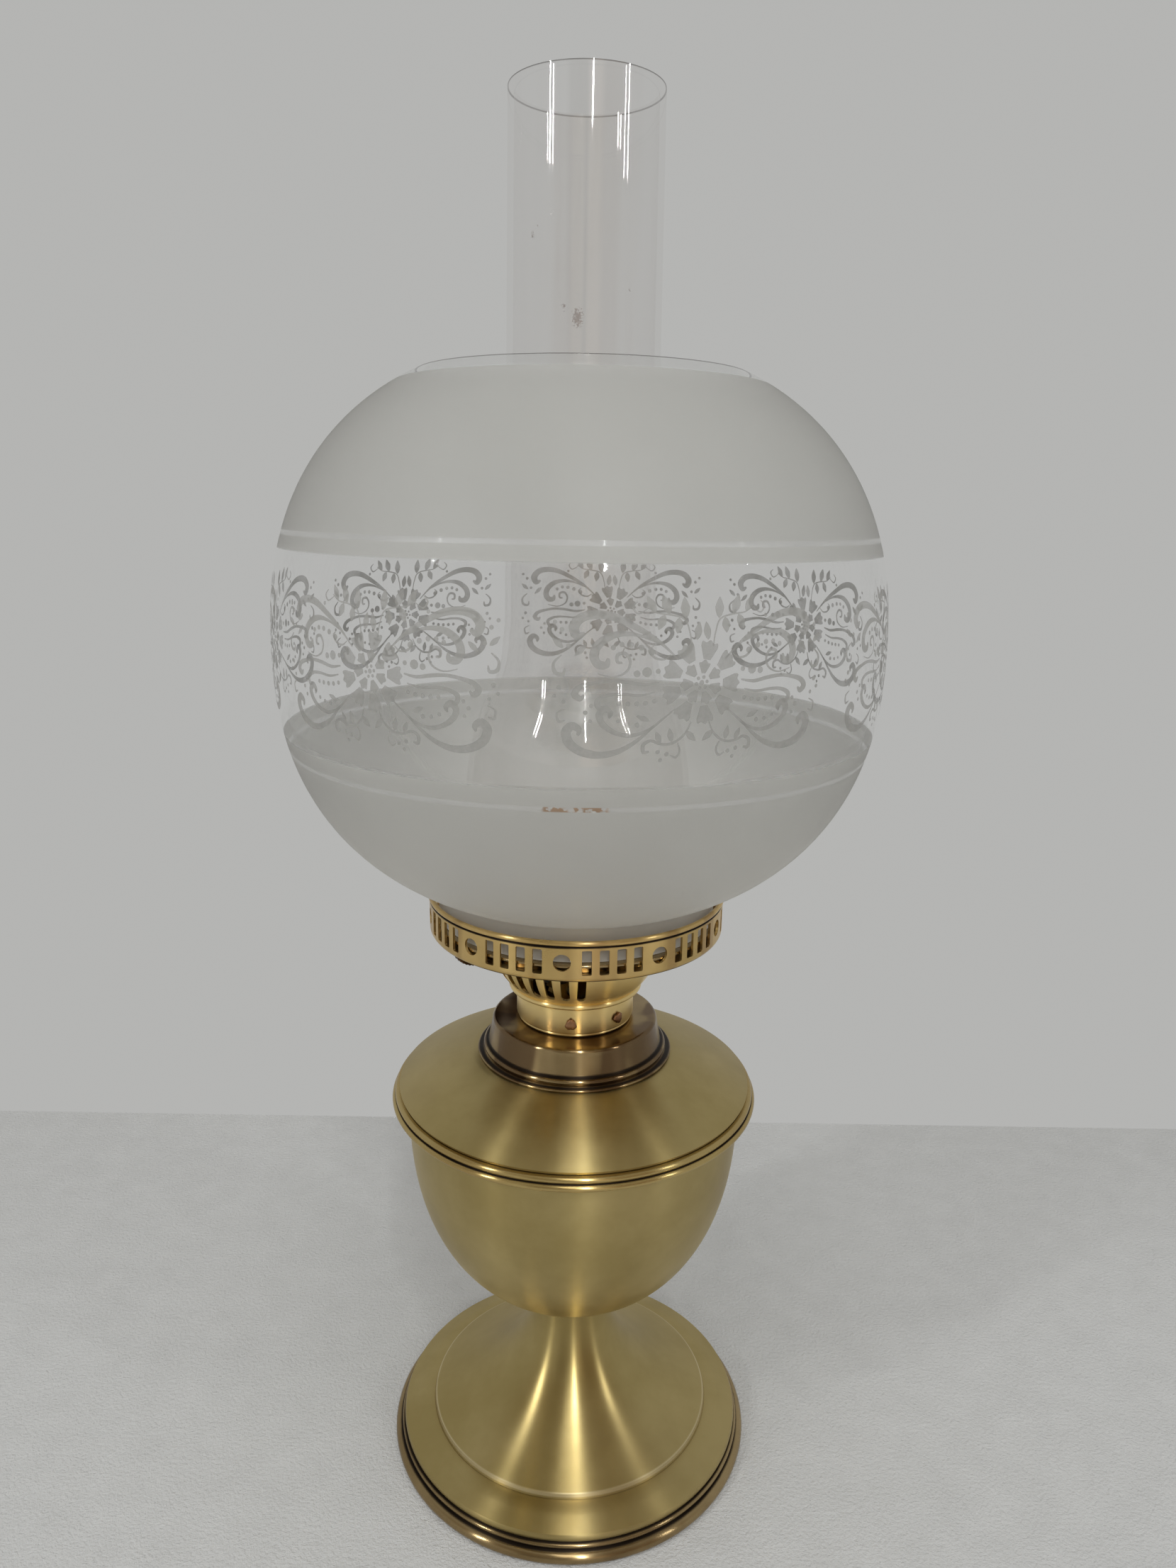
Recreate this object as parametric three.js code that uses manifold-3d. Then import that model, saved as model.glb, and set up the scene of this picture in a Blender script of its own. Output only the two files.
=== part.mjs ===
// Kerosene table lamp: a spun brass foot and fount, a burner for two flat wicks, a pierced
// gallery, a glass chimney and a frosted ball shade. Millimetres, +Z up, the table at z = 0
// and the lamp's axis on z.

import * as THREE from 'three';
import { mergeVertices } from 'three/addons/utils/BufferGeometryUtils.js';
import Module from 'manifold-3d';

const wasm = await Module();
wasm.setup();

// Clearances and cutters
const seatGap = 0.3;
const cutOverrun = 1.5;

// How many flats a round piece has, by its size
const wideSteps = 32;
const mediumSteps = 26;
const narrowSteps = 20;
const smallSteps = 10;
const curveSteps = 4;

// Foot
const footRadius = 70.1;
const footBeadRadius = 2.2;
const footRidgeInset = 2.6;
const footRidgeRadius = 0.8;
const footGrooveInset = 4.1;
const footRimWidth = 6.5;
const flangeInset = 3.5;
const flangeEdgeHeight = 2.8;
const flangeWall = 1.1;
const seamInset = 15.1;
const seamHeight = 14.1;
const flangeLap = 4.0;
const trumpetWall = 1.1;
const stemRadius = 14.4;
const stemFlareShare = 1.08;
const stemFlareHeightShare = 0.278;
const stemRingReach = 1.0;
const stemRingHeight = 1.2;
const stemRingDishShare = 0.7;
const weightInset = 9.0;
const weightThickness = 7.0;
const feltInset = 7.5;
const feltThickness = 1.6;
const feltHoleRadius = 7.5;
const rodRadius = 3.0;
const nutAcrossFlats = 10.0;
const nutHeight = 4.5;
const washerRadius = 8.0;
const washerThickness = 1.2;
const rodEndReach = 1.6;

// Fount
const bowlRadius = 61.7;
const bowlDepth = 80.5;
const bowlPower = 2.33;
const bowlStepShare = 1.25;
const bowlTop = 144.3;
const bowlNeckHeight = 2.6;
const bowlWall = 1.0;
const rimReach = 6.0;
const rimHeight = 4.6;
const rimLap = 2.1;
const shoulderReach = 3.3;
const shoulderRise = 12.2;
const shoulderCrown = 1.5;
const shoulderWall = 1.0;
const shoulderLap = 12.0;

// Collar, stepped and screwed for the burner
const collarFlangeRadius = 35.9;
const collarFlangeHeight = 1.4;
const collarSeatWidth = 1.3;
const collarBeadInset = 2.1;
const collarBeadHeight = 2.6;
const collarWaistInset = 3.9;
const collarTopInset = 5.5;
const collarHeight = 13.4;
const collarEdgeRound = 1.4;
const collarWall = 1.1;
const boreWall = 1.5;
const boreDepth = 11.0;

// Burner base
const sleeveSlack = 0.8;
const threadSlack = 0.4;
const threadWall = 1.0;
const threadLength = 9.0;
const baseLipReach = 2.0;
const baseWallReach = 3.1;
const baseWall = 0.9;
const baseHeight = 11.1;
const rivetRadius = 1.9;
const rivetCrown = 0.8;
const rivetCrownShare = 0.7;
const rivetHeight = 5.2;
const rivetAngle = 21;
const rivetSpread = 24;
const rivetShankRadius = 0.9;

// Air basket
const basketBeadReach = 1.0;
const basketBeadHeight = 2.4;
const basketFootReach = 1.9;
const basketFlare = 9.0;
const basketFlareShare = 0.4;
const basketHeight = 24.2;
const basketWall = 0.9;
const basketFlangeReach = 3.2;
const basketSlotPitch = 11.25;
const basketSlotsPerGroup = 11;
const basketSlotWidth = 3.0;
const basketSlotLength = 14.5;
const basketSlotStartShare = 0.7;
const basketSlotGroupStarts = [-107.5, 70.7];

// Gallery that holds the shade
const galleryRadius = 52.7;
const galleryWall = 0.9;
const galleryHeight = 14.4;
const galleryLipRadius = 0.9;
const galleryFootRound = 2.0;
const galleryInnerLipShare = 0.8254;
const galleryRepeat = 10;
const galleryHoleRadius = 2.9;
const galleryHoleAngle = -4.2;
const galleryHoleHeightShare = 0.486;
const gallerySlotAngle = 13.8;
const gallerySlotPitch = 6.2;
const gallerySlotsPerGroup = 4;
const gallerySlotWidth = 3.2;
const gallerySlotMargin = 6.0;

// Plate inside the gallery: a floor for the chimney and a raised ledge for the shade
const floorWall = 0.8;
const ledgeRise = 3.7;
const ledgeInnerShare = 0.8653;
const floorVentRadius = 2.4;
const floorVentCircleShare = 0.759;
const floorVents = 18;

// Flame spreader
const coneSlack = 0.8;
const coneSeatWidth = 4.9;
const coneFlangeWidth = 2.0;
const coneHeight = 24.5;
const coneWall = 0.8;
const coneShoulderShare = 0.75;
const coneCrownShare = 0.95;
const coneSlotHeightShare = 0.7;
const coneSlotLengthSlack = 3.6;
const coneSlotWidthSlack = 3.4;

// Chimney holder springs
const springCount = 4;
const springAngle = 38;
const springWidth = 6.0;
const springThickness = 0.6;
const springHeight = 20.0;
const springEase = 0.8;
const springFoot = 4.0;

// Chimney glass: its swelling is given by outside radii at heights above its foot
const chimneyHeight = 268.9;
const chimneySwellHeight = 126.4;
const chimneyWall = 2.0;
const chimneyFootRadius = 32.2;
const chimneyBulgeRadius = 39.3;
const chimneyTubeRadius = 25.4;
const chimneyTopRadius = 24.3;
const chimneyHeightShares = [0, 0.096, 0.191, 0.287, 0.394, 0.511, 0.596, 0.706, 0.804, 1];
const chimneySwellShares = [0, 0.08, 0.5, 0.88, 1, 0.86, 0.66, 0.21, 0.05, 0];

// Ball shade
const shadeRadius = 101.8;
const shadeTopReach = 96.34;
const shadeBottomReach = 92.73;
const shadePower = 2.335;
const shadeWall = 2.6;
const shadeMouthRadius = 53.4;
const shadeNeckShare = 0.9355;
const shadeNeckHeight = 11.35;
const shadeSteps = 5;
const shadeStepShare = 0.85;

// Wicks, their tubes and the two winders
const winderAngle = 218;
const wickSpread = 7.0;
const wickWidth = 25.4;
const wickThickness = 2.2;
const wickSlack = 0.3;
const wickTubeWall = 0.8;
const wickTubeReach = 15.2;
const wickTubeDrop = 8.0;
const wickReach = 1.2;
const wickTail = 84.0;
const winderRise = 5.3;
const winderRadius = 1.5;
const winderInnerEnd = 15.5;
const winderOuterEnd = 46.0;
const spurRadius = 4.1;
const spurThickness = 2.4;
const spurSpread = 6.0;
const spurTeeth = 10;
const spurRootShare = 0.72;
const knobRadius = 11.6;
const knobThickness = 3.6;
const knobHubRadius = 3.6;
const knobHubLength = 4.0;
const knobTeeth = 22;
const knobToothDepth = 0.5;
const knobDish = 0.8;
const bearingThickness = 1.2;
const bearingHeight = 7.0;
const bearingLip = 2.6;

// Radii that follow the foot, the bowl and the collar's flange
const footRidgeReach = footRadius - footRidgeInset;
const footGrooveRadius = footRadius - footGrooveInset;
const footRimInnerRadius = footRadius - footRimWidth;
const flangeRadius = footRadius - flangeInset;
const seamRadius = footRadius - seamInset;
const weightRadius = seamRadius - weightInset;
const feltRadius = footRadius - feltInset;
const rimRadius = bowlRadius + rimReach;
const rimInnerRadius = bowlRadius - rimLap;
const shoulderEdgeRadius = bowlRadius + shoulderReach;
const shoulderTopRadius = collarFlangeRadius + collarSeatWidth;
const collarBeadRadius = collarFlangeRadius - collarBeadInset;
const collarWaistRadius = collarFlangeRadius - collarWaistInset;
const collarTopRadius = collarFlangeRadius - collarTopInset;

// The two wick tubes set the screwed sleeve round them, and the sleeve sets the burner
const tubeThickness = wickThickness + 2 * (wickSlack + wickTubeWall);
const tubeWidth = wickWidth + 2 * (wickSlack + wickTubeWall);
const tubeReach = Math.hypot(wickSpread + tubeThickness / 2, tubeWidth / 2);
const threadRadius = tubeReach + sleeveSlack + threadWall;
const boreRadius = threadRadius + threadSlack;
const baseLipRadius = threadRadius + baseLipReach;
const baseWallRadius = threadRadius + baseWallReach;
const basketFootRadius = baseWallRadius + basketFootReach;
const basketBeadRadius = basketFootRadius + basketBeadReach;
const basketTopRadius = basketFootRadius + basketFlare;
const winderSpread = wickSpread + wickThickness / 2 + seatGap + spurRadius;

// The gallery sets its inside, and the chimney's foot the flame spreader's flange
const galleryInnerLipRadius = galleryRadius * galleryInnerLipShare;
const galleryHoleHeight = galleryHeight * galleryHoleHeightShare;
const gallerySlotHeight = galleryHeight - gallerySlotMargin;
const ledgeInnerRadius = galleryRadius * ledgeInnerShare;
const ledgeOuterRadius = galleryRadius - galleryWall - seatGap;
const floorVentCircle = galleryRadius * floorVentCircleShare;
const shadeNeckRadius = galleryRadius * shadeNeckShare;
const coneFlangeRadius = chimneyFootRadius - chimneyWall - coneSlack;
const coneRadius = coneFlangeRadius - coneFlangeWidth;
const floorHoleRadius = coneFlangeRadius - coneSeatWidth;

// Heights stacked from the table up
const footRimTop = 2 * footBeadRadius + seatGap + 2 * footRidgeRadius + seatGap;
const flangeBase = footRimTop + seatGap;
const trumpetBase = seamHeight - trumpetWall + seatGap;
const bowlFoot = bowlTop - bowlDepth;
const ringBase = bowlFoot - seatGap - stemRingHeight;
const stemTop = ringBase - seatGap;
const rimBase = bowlTop + bowlNeckHeight + seatGap;
const shoulderBase = rimBase + rimHeight + seatGap;
const shoulderTop = shoulderBase + shoulderRise;
const collarBase = shoulderTop + seatGap;
const collarTop = collarBase + collarHeight;
const burnerBase = collarTop + seatGap;
const basketBase = burnerBase + baseHeight + seatGap;
const basketTop = basketBase + basketHeight;
const galleryBase = basketTop - basketWall;
const floorBase = basketTop + seatGap;
const floorTop = floorBase + floorWall;
const ledgeTop = floorTop + ledgeRise;
const chimneyBase = floorTop + seatGap;
const chimneyTop = chimneyBase + chimneyHeight;
const shadeBase = ledgeTop + seatGap;
const coneBase = floorTop + seatGap;
const wickTubeTop = coneBase + wickTubeReach;
const winderHeight = basketBase + winderRise;

// Finishes
const satinBrass = { color: 0xb39a5c, roughness: 0.34, metalness: 1 };
const brightBrass = { color: 0xc9a552, roughness: 0.28, metalness: 1 };
const tarnishedBrass = { color: 0x7a5f36, roughness: 0.45, metalness: 1 };
const darkBronze = { color: 0x3a2417, roughness: 0.5, metalness: 0.8 };
const copper = { color: 0x8a5236, roughness: 0.45, metalness: 1 };
const steel = { color: 0x8c8c88, roughness: 0.45, metalness: 1 };
const castIron = { color: 0x3c3a38, roughness: 0.8, metalness: 0.6 };
const felt = { color: 0x23472f, roughness: 1, metalness: 0 };
const cotton = { color: 0xe4dcc6, roughness: 1, metalness: 0 };
const frostedGlass = { color: 0xb9b7ad, roughness: 0.6, metalness: 0 };
const clearGlass = { color: 0xe4ecea, roughness: 0.05, metalness: 0 };

const lamp = new THREE.Group();

// A closed geometry as a solid, with shared vertices merged and slivers at the axis dropped
function toSolid(geometry) {
  const bare = geometry.clone();
  bare.deleteAttribute('normal');
  bare.deleteAttribute('uv');
  const merged = mergeVertices(bare);
  const index = merged.index.array;
  const kept = [];
  for (let i = 0; i < index.length; i += 3) {
    const [a, b, c] = [index[i], index[i + 1], index[i + 2]];
    if (a !== b && b !== c && c !== a) {
      kept.push(a, b, c);
    }
  }
  return new wasm.Manifold(new wasm.Mesh({
    numProp: 3,
    vertProperties: new Float32Array(merged.attributes.position.array),
    triVerts: new Uint32Array(kept),
  }));
}

function toGeometry(solid) {
  const mesh = solid.getMesh();
  const geometry = new THREE.BufferGeometry();
  geometry.setAttribute('position', new THREE.BufferAttribute(mesh.vertProperties, 3));
  geometry.setIndex(new THREE.BufferAttribute(mesh.triVerts, 1));
  geometry.computeVertexNormals();
  return geometry;
}

function addPiece(name, geometry, finish) {
  const mesh = new THREE.Mesh(geometry, new THREE.MeshStandardMaterial(finish));
  mesh.name = name;
  lamp.add(mesh);
}

// A ring or disc from its outline, a list of [radius, height], which closes on itself or the axis
function turned(outline, steps) {
  let area = 0;
  for (let i = 0; i < outline.length; i += 1) {
    const [r0, z0] = outline[i];
    const [r1, z1] = outline[(i + 1) % outline.length];
    area += (r0 * z1 - r1 * z0) / 2;
  }
  const points = outline.map(([r, z]) => new THREE.Vector2(Math.max(r, 0), z));
  if (area < 0) {
    points.reverse();
  }
  points.push(points[0].clone());
  const geometry = new THREE.LatheGeometry(points, steps);
  return geometry.rotateX(Math.PI / 2);
}

function addTurned(name, outline, steps, finish) {
  addPiece(name, toGeometry(toSolid(turned(outline, steps))), finish);
}

// The points of an arc from one angle to another, in degrees from +r towards +z
function arc(centreR, centreZ, radius, from, to, steps = curveSteps) {
  const points = [];
  for (let i = 0; i <= steps; i += 1) {
    const angle = THREE.MathUtils.degToRad(from + ((to - from) * i) / steps);
    points.push([centreR + radius * Math.cos(angle), centreZ + radius * Math.sin(angle)]);
  }
  return points;
}

function bezier(points, steps = curveSteps) {
  const corners = points.map(([r, z]) => new THREE.Vector2(r, z));
  const curve = points.length === 4
    ? new THREE.CubicBezierCurve(...corners)
    : new THREE.QuadraticBezierCurve(...corners);
  return curve.getPoints(steps).map((point) => [point.x, point.y]);
}

// The outline of a sheet of even thickness whose outside follows a curve, read upwards
function sheet(outside, wall) {
  const inside = outside.map((point, i) => {
    const before = outside[Math.max(i - 1, 0)];
    const after = outside[Math.min(i + 1, outside.length - 1)];
    const run = new THREE.Vector2(after[0] - before[0], after[1] - before[1]).normalize();
    return [point[0] - run.y * wall, point[1] + run.x * wall];
  });
  return [...outside, ...inside.reverse()];
}

// A prism along a direction in plan, from a flat outline whose x runs across it and y runs up
function radialPrism(shape, depth, angle, along, across, height) {
  const geometry = new THREE.ExtrudeGeometry(shape, { depth, bevelEnabled: false });
  geometry.rotateX(Math.PI / 2);
  geometry.rotateZ(Math.PI);
  geometry.translate(across, along, height);
  geometry.rotateZ(THREE.MathUtils.degToRad(180 + angle));
  return geometry;
}

// A rectangle about the origin, its corners cut round where they have a radius
function roundRectangle(width, height, radius, steps) {
  const shape = new THREE.Shape();
  const corners = [
    [width / 2 - radius, height / 2 - radius, 0],
    [radius - width / 2, height / 2 - radius, 90],
    [radius - width / 2, radius - height / 2, 180],
    [width / 2 - radius, radius - height / 2, 270],
  ];
  const points = corners.flatMap(([x, y, start]) => (
    steps ? arc(x, y, radius, start, start + 90, steps) : [[x, y]]
  ));
  shape.setFromPoints(points.map(([x, y]) => new THREE.Vector2(x, y)));
  return shape;
}

function circleShape(radius, steps) {
  const shape = new THREE.Shape();
  const points = arc(0, 0, radius, 0, 360 - 360 / steps, steps - 1);
  shape.setFromPoints(points.map(([x, y]) => new THREE.Vector2(x, y)));
  return shape;
}

function cutAway(geometry, cutters) {
  const body = toSolid(geometry);
  return toGeometry(cutters.reduce((left, cutter) => left.subtract(toSolid(cutter)), body));
}

// Foot: a rolled rim, a domed flange, a trumpet and a ring under the fount
addTurned('foot_rim', [
  [footRimInnerRadius, 0],
  ...arc(footRadius - footBeadRadius, footBeadRadius, footBeadRadius, -90, 75),
  [footGrooveRadius, 2 * footBeadRadius + seatGap / 2],
  ...arc(footRidgeReach - footRidgeRadius, footRimTop - footRidgeRadius, footRidgeRadius, -90, 90, 4),
  [footRimInnerRadius, footRimTop],
], wideSteps, tarnishedBrass);

const flangeOutside = [
  [flangeRadius - flangeEdgeHeight, flangeBase],
  ...bezier([
    [flangeRadius - flangeWall / 2, flangeBase],
    [flangeRadius + flangeWall / 4, flangeBase + flangeEdgeHeight / 2],
    [flangeRadius - flangeWall / 2, flangeBase + flangeEdgeHeight],
  ], 2),
  ...bezier([
    [(flangeRadius + seamRadius) / 2, seamHeight - trumpetWall - seatGap - flangeWall],
    [(flangeRadius + 3 * seamRadius) / 4, seamHeight - trumpetWall - seatGap],
    [seamRadius - flangeLap, seamHeight - trumpetWall],
  ], 3),
];
addTurned('foot_flange', sheet(flangeOutside, flangeWall), wideSteps, satinBrass);

const trumpetOutside = [
  [seamRadius, trumpetBase],
  ...bezier([
    [seamRadius - trumpetWall / 2, seamHeight + trumpetWall / 2],
    [seamRadius / 2, seamHeight + trumpetWall + seamRadius / 5],
    [stemRadius * stemFlareShare, (seamHeight + 2 * stemTop) * stemFlareHeightShare],
    [stemRadius, stemTop],
  ], 8),
];
addTurned('foot_trumpet', sheet(trumpetOutside, trumpetWall), mediumSteps, satinBrass);

// The fount's outside height at a radius
function bowlHeight(radius) {
  return bowlTop - bowlDepth * (1 - (radius / bowlRadius) ** bowlPower) ** (1 / bowlPower);
}

const ringDishRadius = stemRadius * stemRingDishShare;
addTurned('stem_ring', [
  [rodRadius + seatGap, ringBase],
  [stemRadius, ringBase],
  [stemRadius + stemRingReach, ringBase + stemRingHeight],
  [stemRadius + stemRingReach / 2, bowlHeight(stemRadius) - seatGap],
  [ringDishRadius, bowlHeight(ringDishRadius) - seatGap],
  [rodRadius + seatGap, bowlFoot - seatGap],
], narrowSteps, brightBrass);

// Inside the foot: a cast weight on the felt, and the rod that pulls foot and fount together
const feltBase = seatGap;
const weightBase = feltBase + feltThickness + seatGap;
const washerBase = bowlHeight(washerRadius) + bowlWall + 2 * seatGap;
const nutTopBase = washerBase + washerThickness + seatGap;
const weightTop = weightBase + weightThickness;
const nutLowBase = weightTop + seatGap;
const rodBase = weightBase;
const rodTop = nutTopBase + nutHeight + rodEndReach;

addTurned('base_felt', [
  [feltHoleRadius, feltBase],
  [feltRadius, feltBase],
  [feltRadius, feltBase + feltThickness],
  [feltHoleRadius, feltBase + feltThickness],
], wideSteps, felt);

addTurned('foot_weight', [
  [rodRadius + seatGap, weightBase],
  [weightRadius, weightBase],
  [weightRadius - weightThickness / 3, weightTop],
  [rodRadius + seatGap, weightTop],
], narrowSteps, castIron);

addTurned('tie_rod', [
  [0, rodBase],
  [rodRadius, rodBase],
  [rodRadius, rodTop],
  [0, rodTop],
], smallSteps, steel);

function nut(base) {
  const outline = circleShape(nutAcrossFlats / Math.sqrt(3), 6);
  outline.holes.push(circleShape(rodRadius + seatGap, smallSteps));
  const geometry = new THREE.ExtrudeGeometry(outline, { depth: nutHeight, bevelEnabled: false });
  return geometry.translate(0, 0, base);
}
addPiece('weight_nut', nut(nutLowBase), steel);
addPiece('fount_nut', nut(nutTopBase), steel);
addTurned('fount_washer', [
  [rodRadius + seatGap, washerBase],
  [washerRadius, washerBase],
  [washerRadius, washerBase + washerThickness],
  [rodRadius + seatGap, washerBase + washerThickness],
], smallSteps, brightBrass);

// Fount: a spun bowl, a rolled rim, a shoulder and the screwed collar
const bowlCurve = [];
const bowlSteps = 8;
for (let i = 0; i <= bowlSteps; i += 1) {
  const angle = ((bowlSteps - i) / bowlSteps) ** bowlStepShare * (Math.PI / 2);
  bowlCurve.push([
    bowlRadius * Math.cos(angle) ** (2 / bowlPower),
    bowlTop - bowlDepth * Math.sin(angle) ** (2 / bowlPower),
  ]);
}
bowlCurve[0] = [rodRadius + seatGap, bowlFoot];
bowlCurve.push([bowlRadius, bowlTop + bowlNeckHeight]);
addTurned('fount_bowl', sheet(bowlCurve, bowlWall), wideSteps, satinBrass);

const rimBead = rimHeight / 4;
addTurned('fount_rim', [
  [rimInnerRadius, rimBase],
  ...arc(rimRadius - rimBead, rimBase + rimBead, rimBead, -90, 60, 3),
  ...arc(rimRadius - rimBead - bowlWall, rimBase + 3 * rimBead, rimBead, -40, 90, 3),
  [rimInnerRadius, rimBase + rimHeight],
], wideSteps, brightBrass);

const shoulderMiddle = (shoulderEdgeRadius + shoulderTopRadius) / 2;
const shoulderOutside = [
  [shoulderEdgeRadius - shoulderWall / 2, shoulderBase],
  ...bezier([
    [shoulderEdgeRadius, shoulderBase + shoulderWall],
    [shoulderMiddle, shoulderBase + shoulderWall + shoulderRise / 2 + shoulderCrown],
    [shoulderTopRadius, shoulderTop],
  ], 3),
  [shoulderTopRadius - shoulderLap, shoulderTop],
];
addTurned('fount_shoulder', sheet(shoulderOutside, shoulderWall), wideSteps, satinBrass);

const beadTop = collarBase + collarFlangeHeight + collarBeadHeight;
addTurned('fount_collar', [
  [collarFlangeRadius - collarWall, collarBase],
  [collarFlangeRadius, collarBase + collarFlangeHeight / 4],
  [collarFlangeRadius, collarBase + collarFlangeHeight],
  [collarBeadRadius, collarBase + collarFlangeHeight],
  [collarBeadRadius, beadTop - collarBeadHeight / 3],
  [collarWaistRadius, beadTop],
  [collarTopRadius, collarTop - collarEdgeRound],
  ...arc(collarTopRadius - collarEdgeRound, collarTop - collarEdgeRound, collarEdgeRound, 30, 90, 2),
  [boreRadius, collarTop],
  [boreRadius, collarTop - boreDepth],
  [boreRadius + boreWall, collarTop - boreDepth],
  [boreRadius + boreWall, collarTop - collarWall],
  [collarTopRadius - collarWall - collarEdgeRound / 2, collarTop - collarWall],
  [collarWaistRadius - collarWall, beadTop],
  [collarBeadRadius - collarWall, beadTop - collarBeadHeight / 2],
  [collarBeadRadius - collarWall, collarBase],
], mediumSteps, tarnishedBrass);

// Wicks and their tubes: wicks face along the winders' crossways direction
const tubeBase = burnerBase - wickTubeDrop;
const tubeHeight = wickTubeTop - tubeBase;
const wickBase = burnerBase - wickTail;
const windowHeight = 2 * (winderSpread - wickSpread) + seatGap;
const windowWidth = spurThickness + 4 * seatGap;

// A box with its length along the winders, its depth across them, and its foot at a height
function winderBox(length, depth, height, along, across, base) {
  const geometry = new THREE.BoxGeometry(depth, length, height);
  geometry.translate(across, along, base + height / 2);
  return geometry.rotateZ(THREE.MathUtils.degToRad(180 + winderAngle));
}

const sides = [['left', -1], ['right', 1]];
for (const [side, sign] of sides) {
  const tube = winderBox(tubeWidth, tubeThickness, tubeHeight, 0, sign * wickSpread, tubeBase);
  const bore = winderBox(
    wickWidth + 2 * wickSlack,
    wickThickness + 2 * wickSlack,
    tubeHeight + 2 * cutOverrun,
    0,
    sign * wickSpread,
    tubeBase - cutOverrun,
  );
  const windows = [-spurSpread, spurSpread].map((along) => winderBox(
    windowWidth,
    tubeThickness,
    windowHeight,
    along,
    sign * (wickSpread + tubeThickness / 2),
    winderHeight - windowHeight / 2,
  ));
  addPiece(`wick_tube_${side}`, cutAway(tube, [bore, ...windows]), tarnishedBrass);
  addPiece(`wick_${side}`, winderBox(
    wickWidth,
    wickThickness,
    wickTubeTop + wickReach - wickBase,
    0,
    sign * wickSpread,
    wickBase,
  ), cotton);
}

// Winders: a shaft with two spur wheels and a milled knob, and the bearing on the wick tube
function alongWinder(geometry, along, across) {
  geometry.rotateX(-Math.PI / 2);
  geometry.translate(across, along, winderHeight);
  return geometry.rotateZ(THREE.MathUtils.degToRad(180 + winderAngle));
}

for (const [side, sign] of sides) {
  const across = sign * winderSpread;
  const shaft = turned([
    [0, -winderInnerEnd],
    [winderRadius, -winderInnerEnd],
    [winderRadius, winderOuterEnd],
    [0, winderOuterEnd],
  ], smallSteps);
  addPiece(`winder_shaft_${side}`, toGeometry(toSolid(alongWinder(shaft, 0, across))), steel);

  [-spurSpread, spurSpread].forEach((along, i) => {
    const outline = new THREE.Shape();
    const points = [];
    for (let t = 0; t < 2 * spurTeeth; t += 1) {
      const radius = t % 2 ? spurRadius * spurRootShare : spurRadius;
      const angle = (t * Math.PI) / spurTeeth;
      points.push(new THREE.Vector2(radius * Math.cos(angle), radius * Math.sin(angle)));
    }
    outline.setFromPoints(points);
    outline.holes.push(circleShape(winderRadius + seatGap, smallSteps));
    const wheel = new THREE.ExtrudeGeometry(outline, { depth: spurThickness, bevelEnabled: false });
    wheel.translate(0, 0, -spurThickness / 2);
    const placed = toGeometry(toSolid(alongWinder(wheel, along, across)));
    addPiece(`spur_wheel_${side}_${i + 1}`, placed, brightBrass);
  });

  const hubBase = winderOuterEnd - knobHubLength;
  const knobBase = winderOuterEnd + seatGap;
  const knobFace = knobBase + knobThickness;
  const rim = new THREE.Shape();
  const rimPoints = [];
  for (let t = 0; t < 2 * knobTeeth; t += 1) {
    const radius = t % 2 ? knobRadius - knobToothDepth : knobRadius;
    const angle = (t * Math.PI) / knobTeeth;
    rimPoints.push(new THREE.Vector2(radius * Math.cos(angle), radius * Math.sin(angle)));
  }
  rim.setFromPoints(rimPoints);
  const disc = new THREE.ExtrudeGeometry(rim, { depth: knobThickness, bevelEnabled: false });
  disc.translate(0, 0, knobBase);
  const hub = turned([
    [winderRadius + seatGap, hubBase],
    [knobHubRadius, hubBase],
    [knobHubRadius, knobBase + knobThickness / 2],
    [winderRadius + seatGap, knobBase + knobThickness / 2],
  ], smallSteps);
  const dish = turned([
    [0, knobFace - knobDish],
    [knobRadius - 3 * knobDish, knobFace - knobDish],
    [knobRadius - 2 * knobDish, knobFace + cutOverrun],
    [0, knobFace + cutOverrun],
  ], narrowSteps);
  const knob = toSolid(disc).add(toSolid(hub)).subtract(toSolid(dish));
  const knobGeometry = toGeometry(knob);
  addPiece(`winder_knob_${side}`, alongWinder(knobGeometry, 0, across), darkBronze);

  const tubeFace = wickSpread + tubeThickness / 2 + seatGap;
  const bearingDepth = winderSpread + winderRadius + bearingLip - tubeFace;
  const plate = winderBox(
    bearingThickness,
    bearingDepth,
    bearingHeight,
    bearingThickness / 2 + seatGap - winderInnerEnd + bearingThickness,
    sign * (tubeFace + bearingDepth / 2),
    winderHeight - bearingHeight / 2,
  );
  const hole = alongWinder(turned([
    [0, -winderInnerEnd - cutOverrun],
    [winderRadius + seatGap, -winderInnerEnd - cutOverrun],
    [winderRadius + seatGap, 0],
    [0, 0],
  ], smallSteps), 0, across);
  addPiece(`winder_bearing_${side}`, cutAway(plate, [hole]), brightBrass);
}

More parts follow.
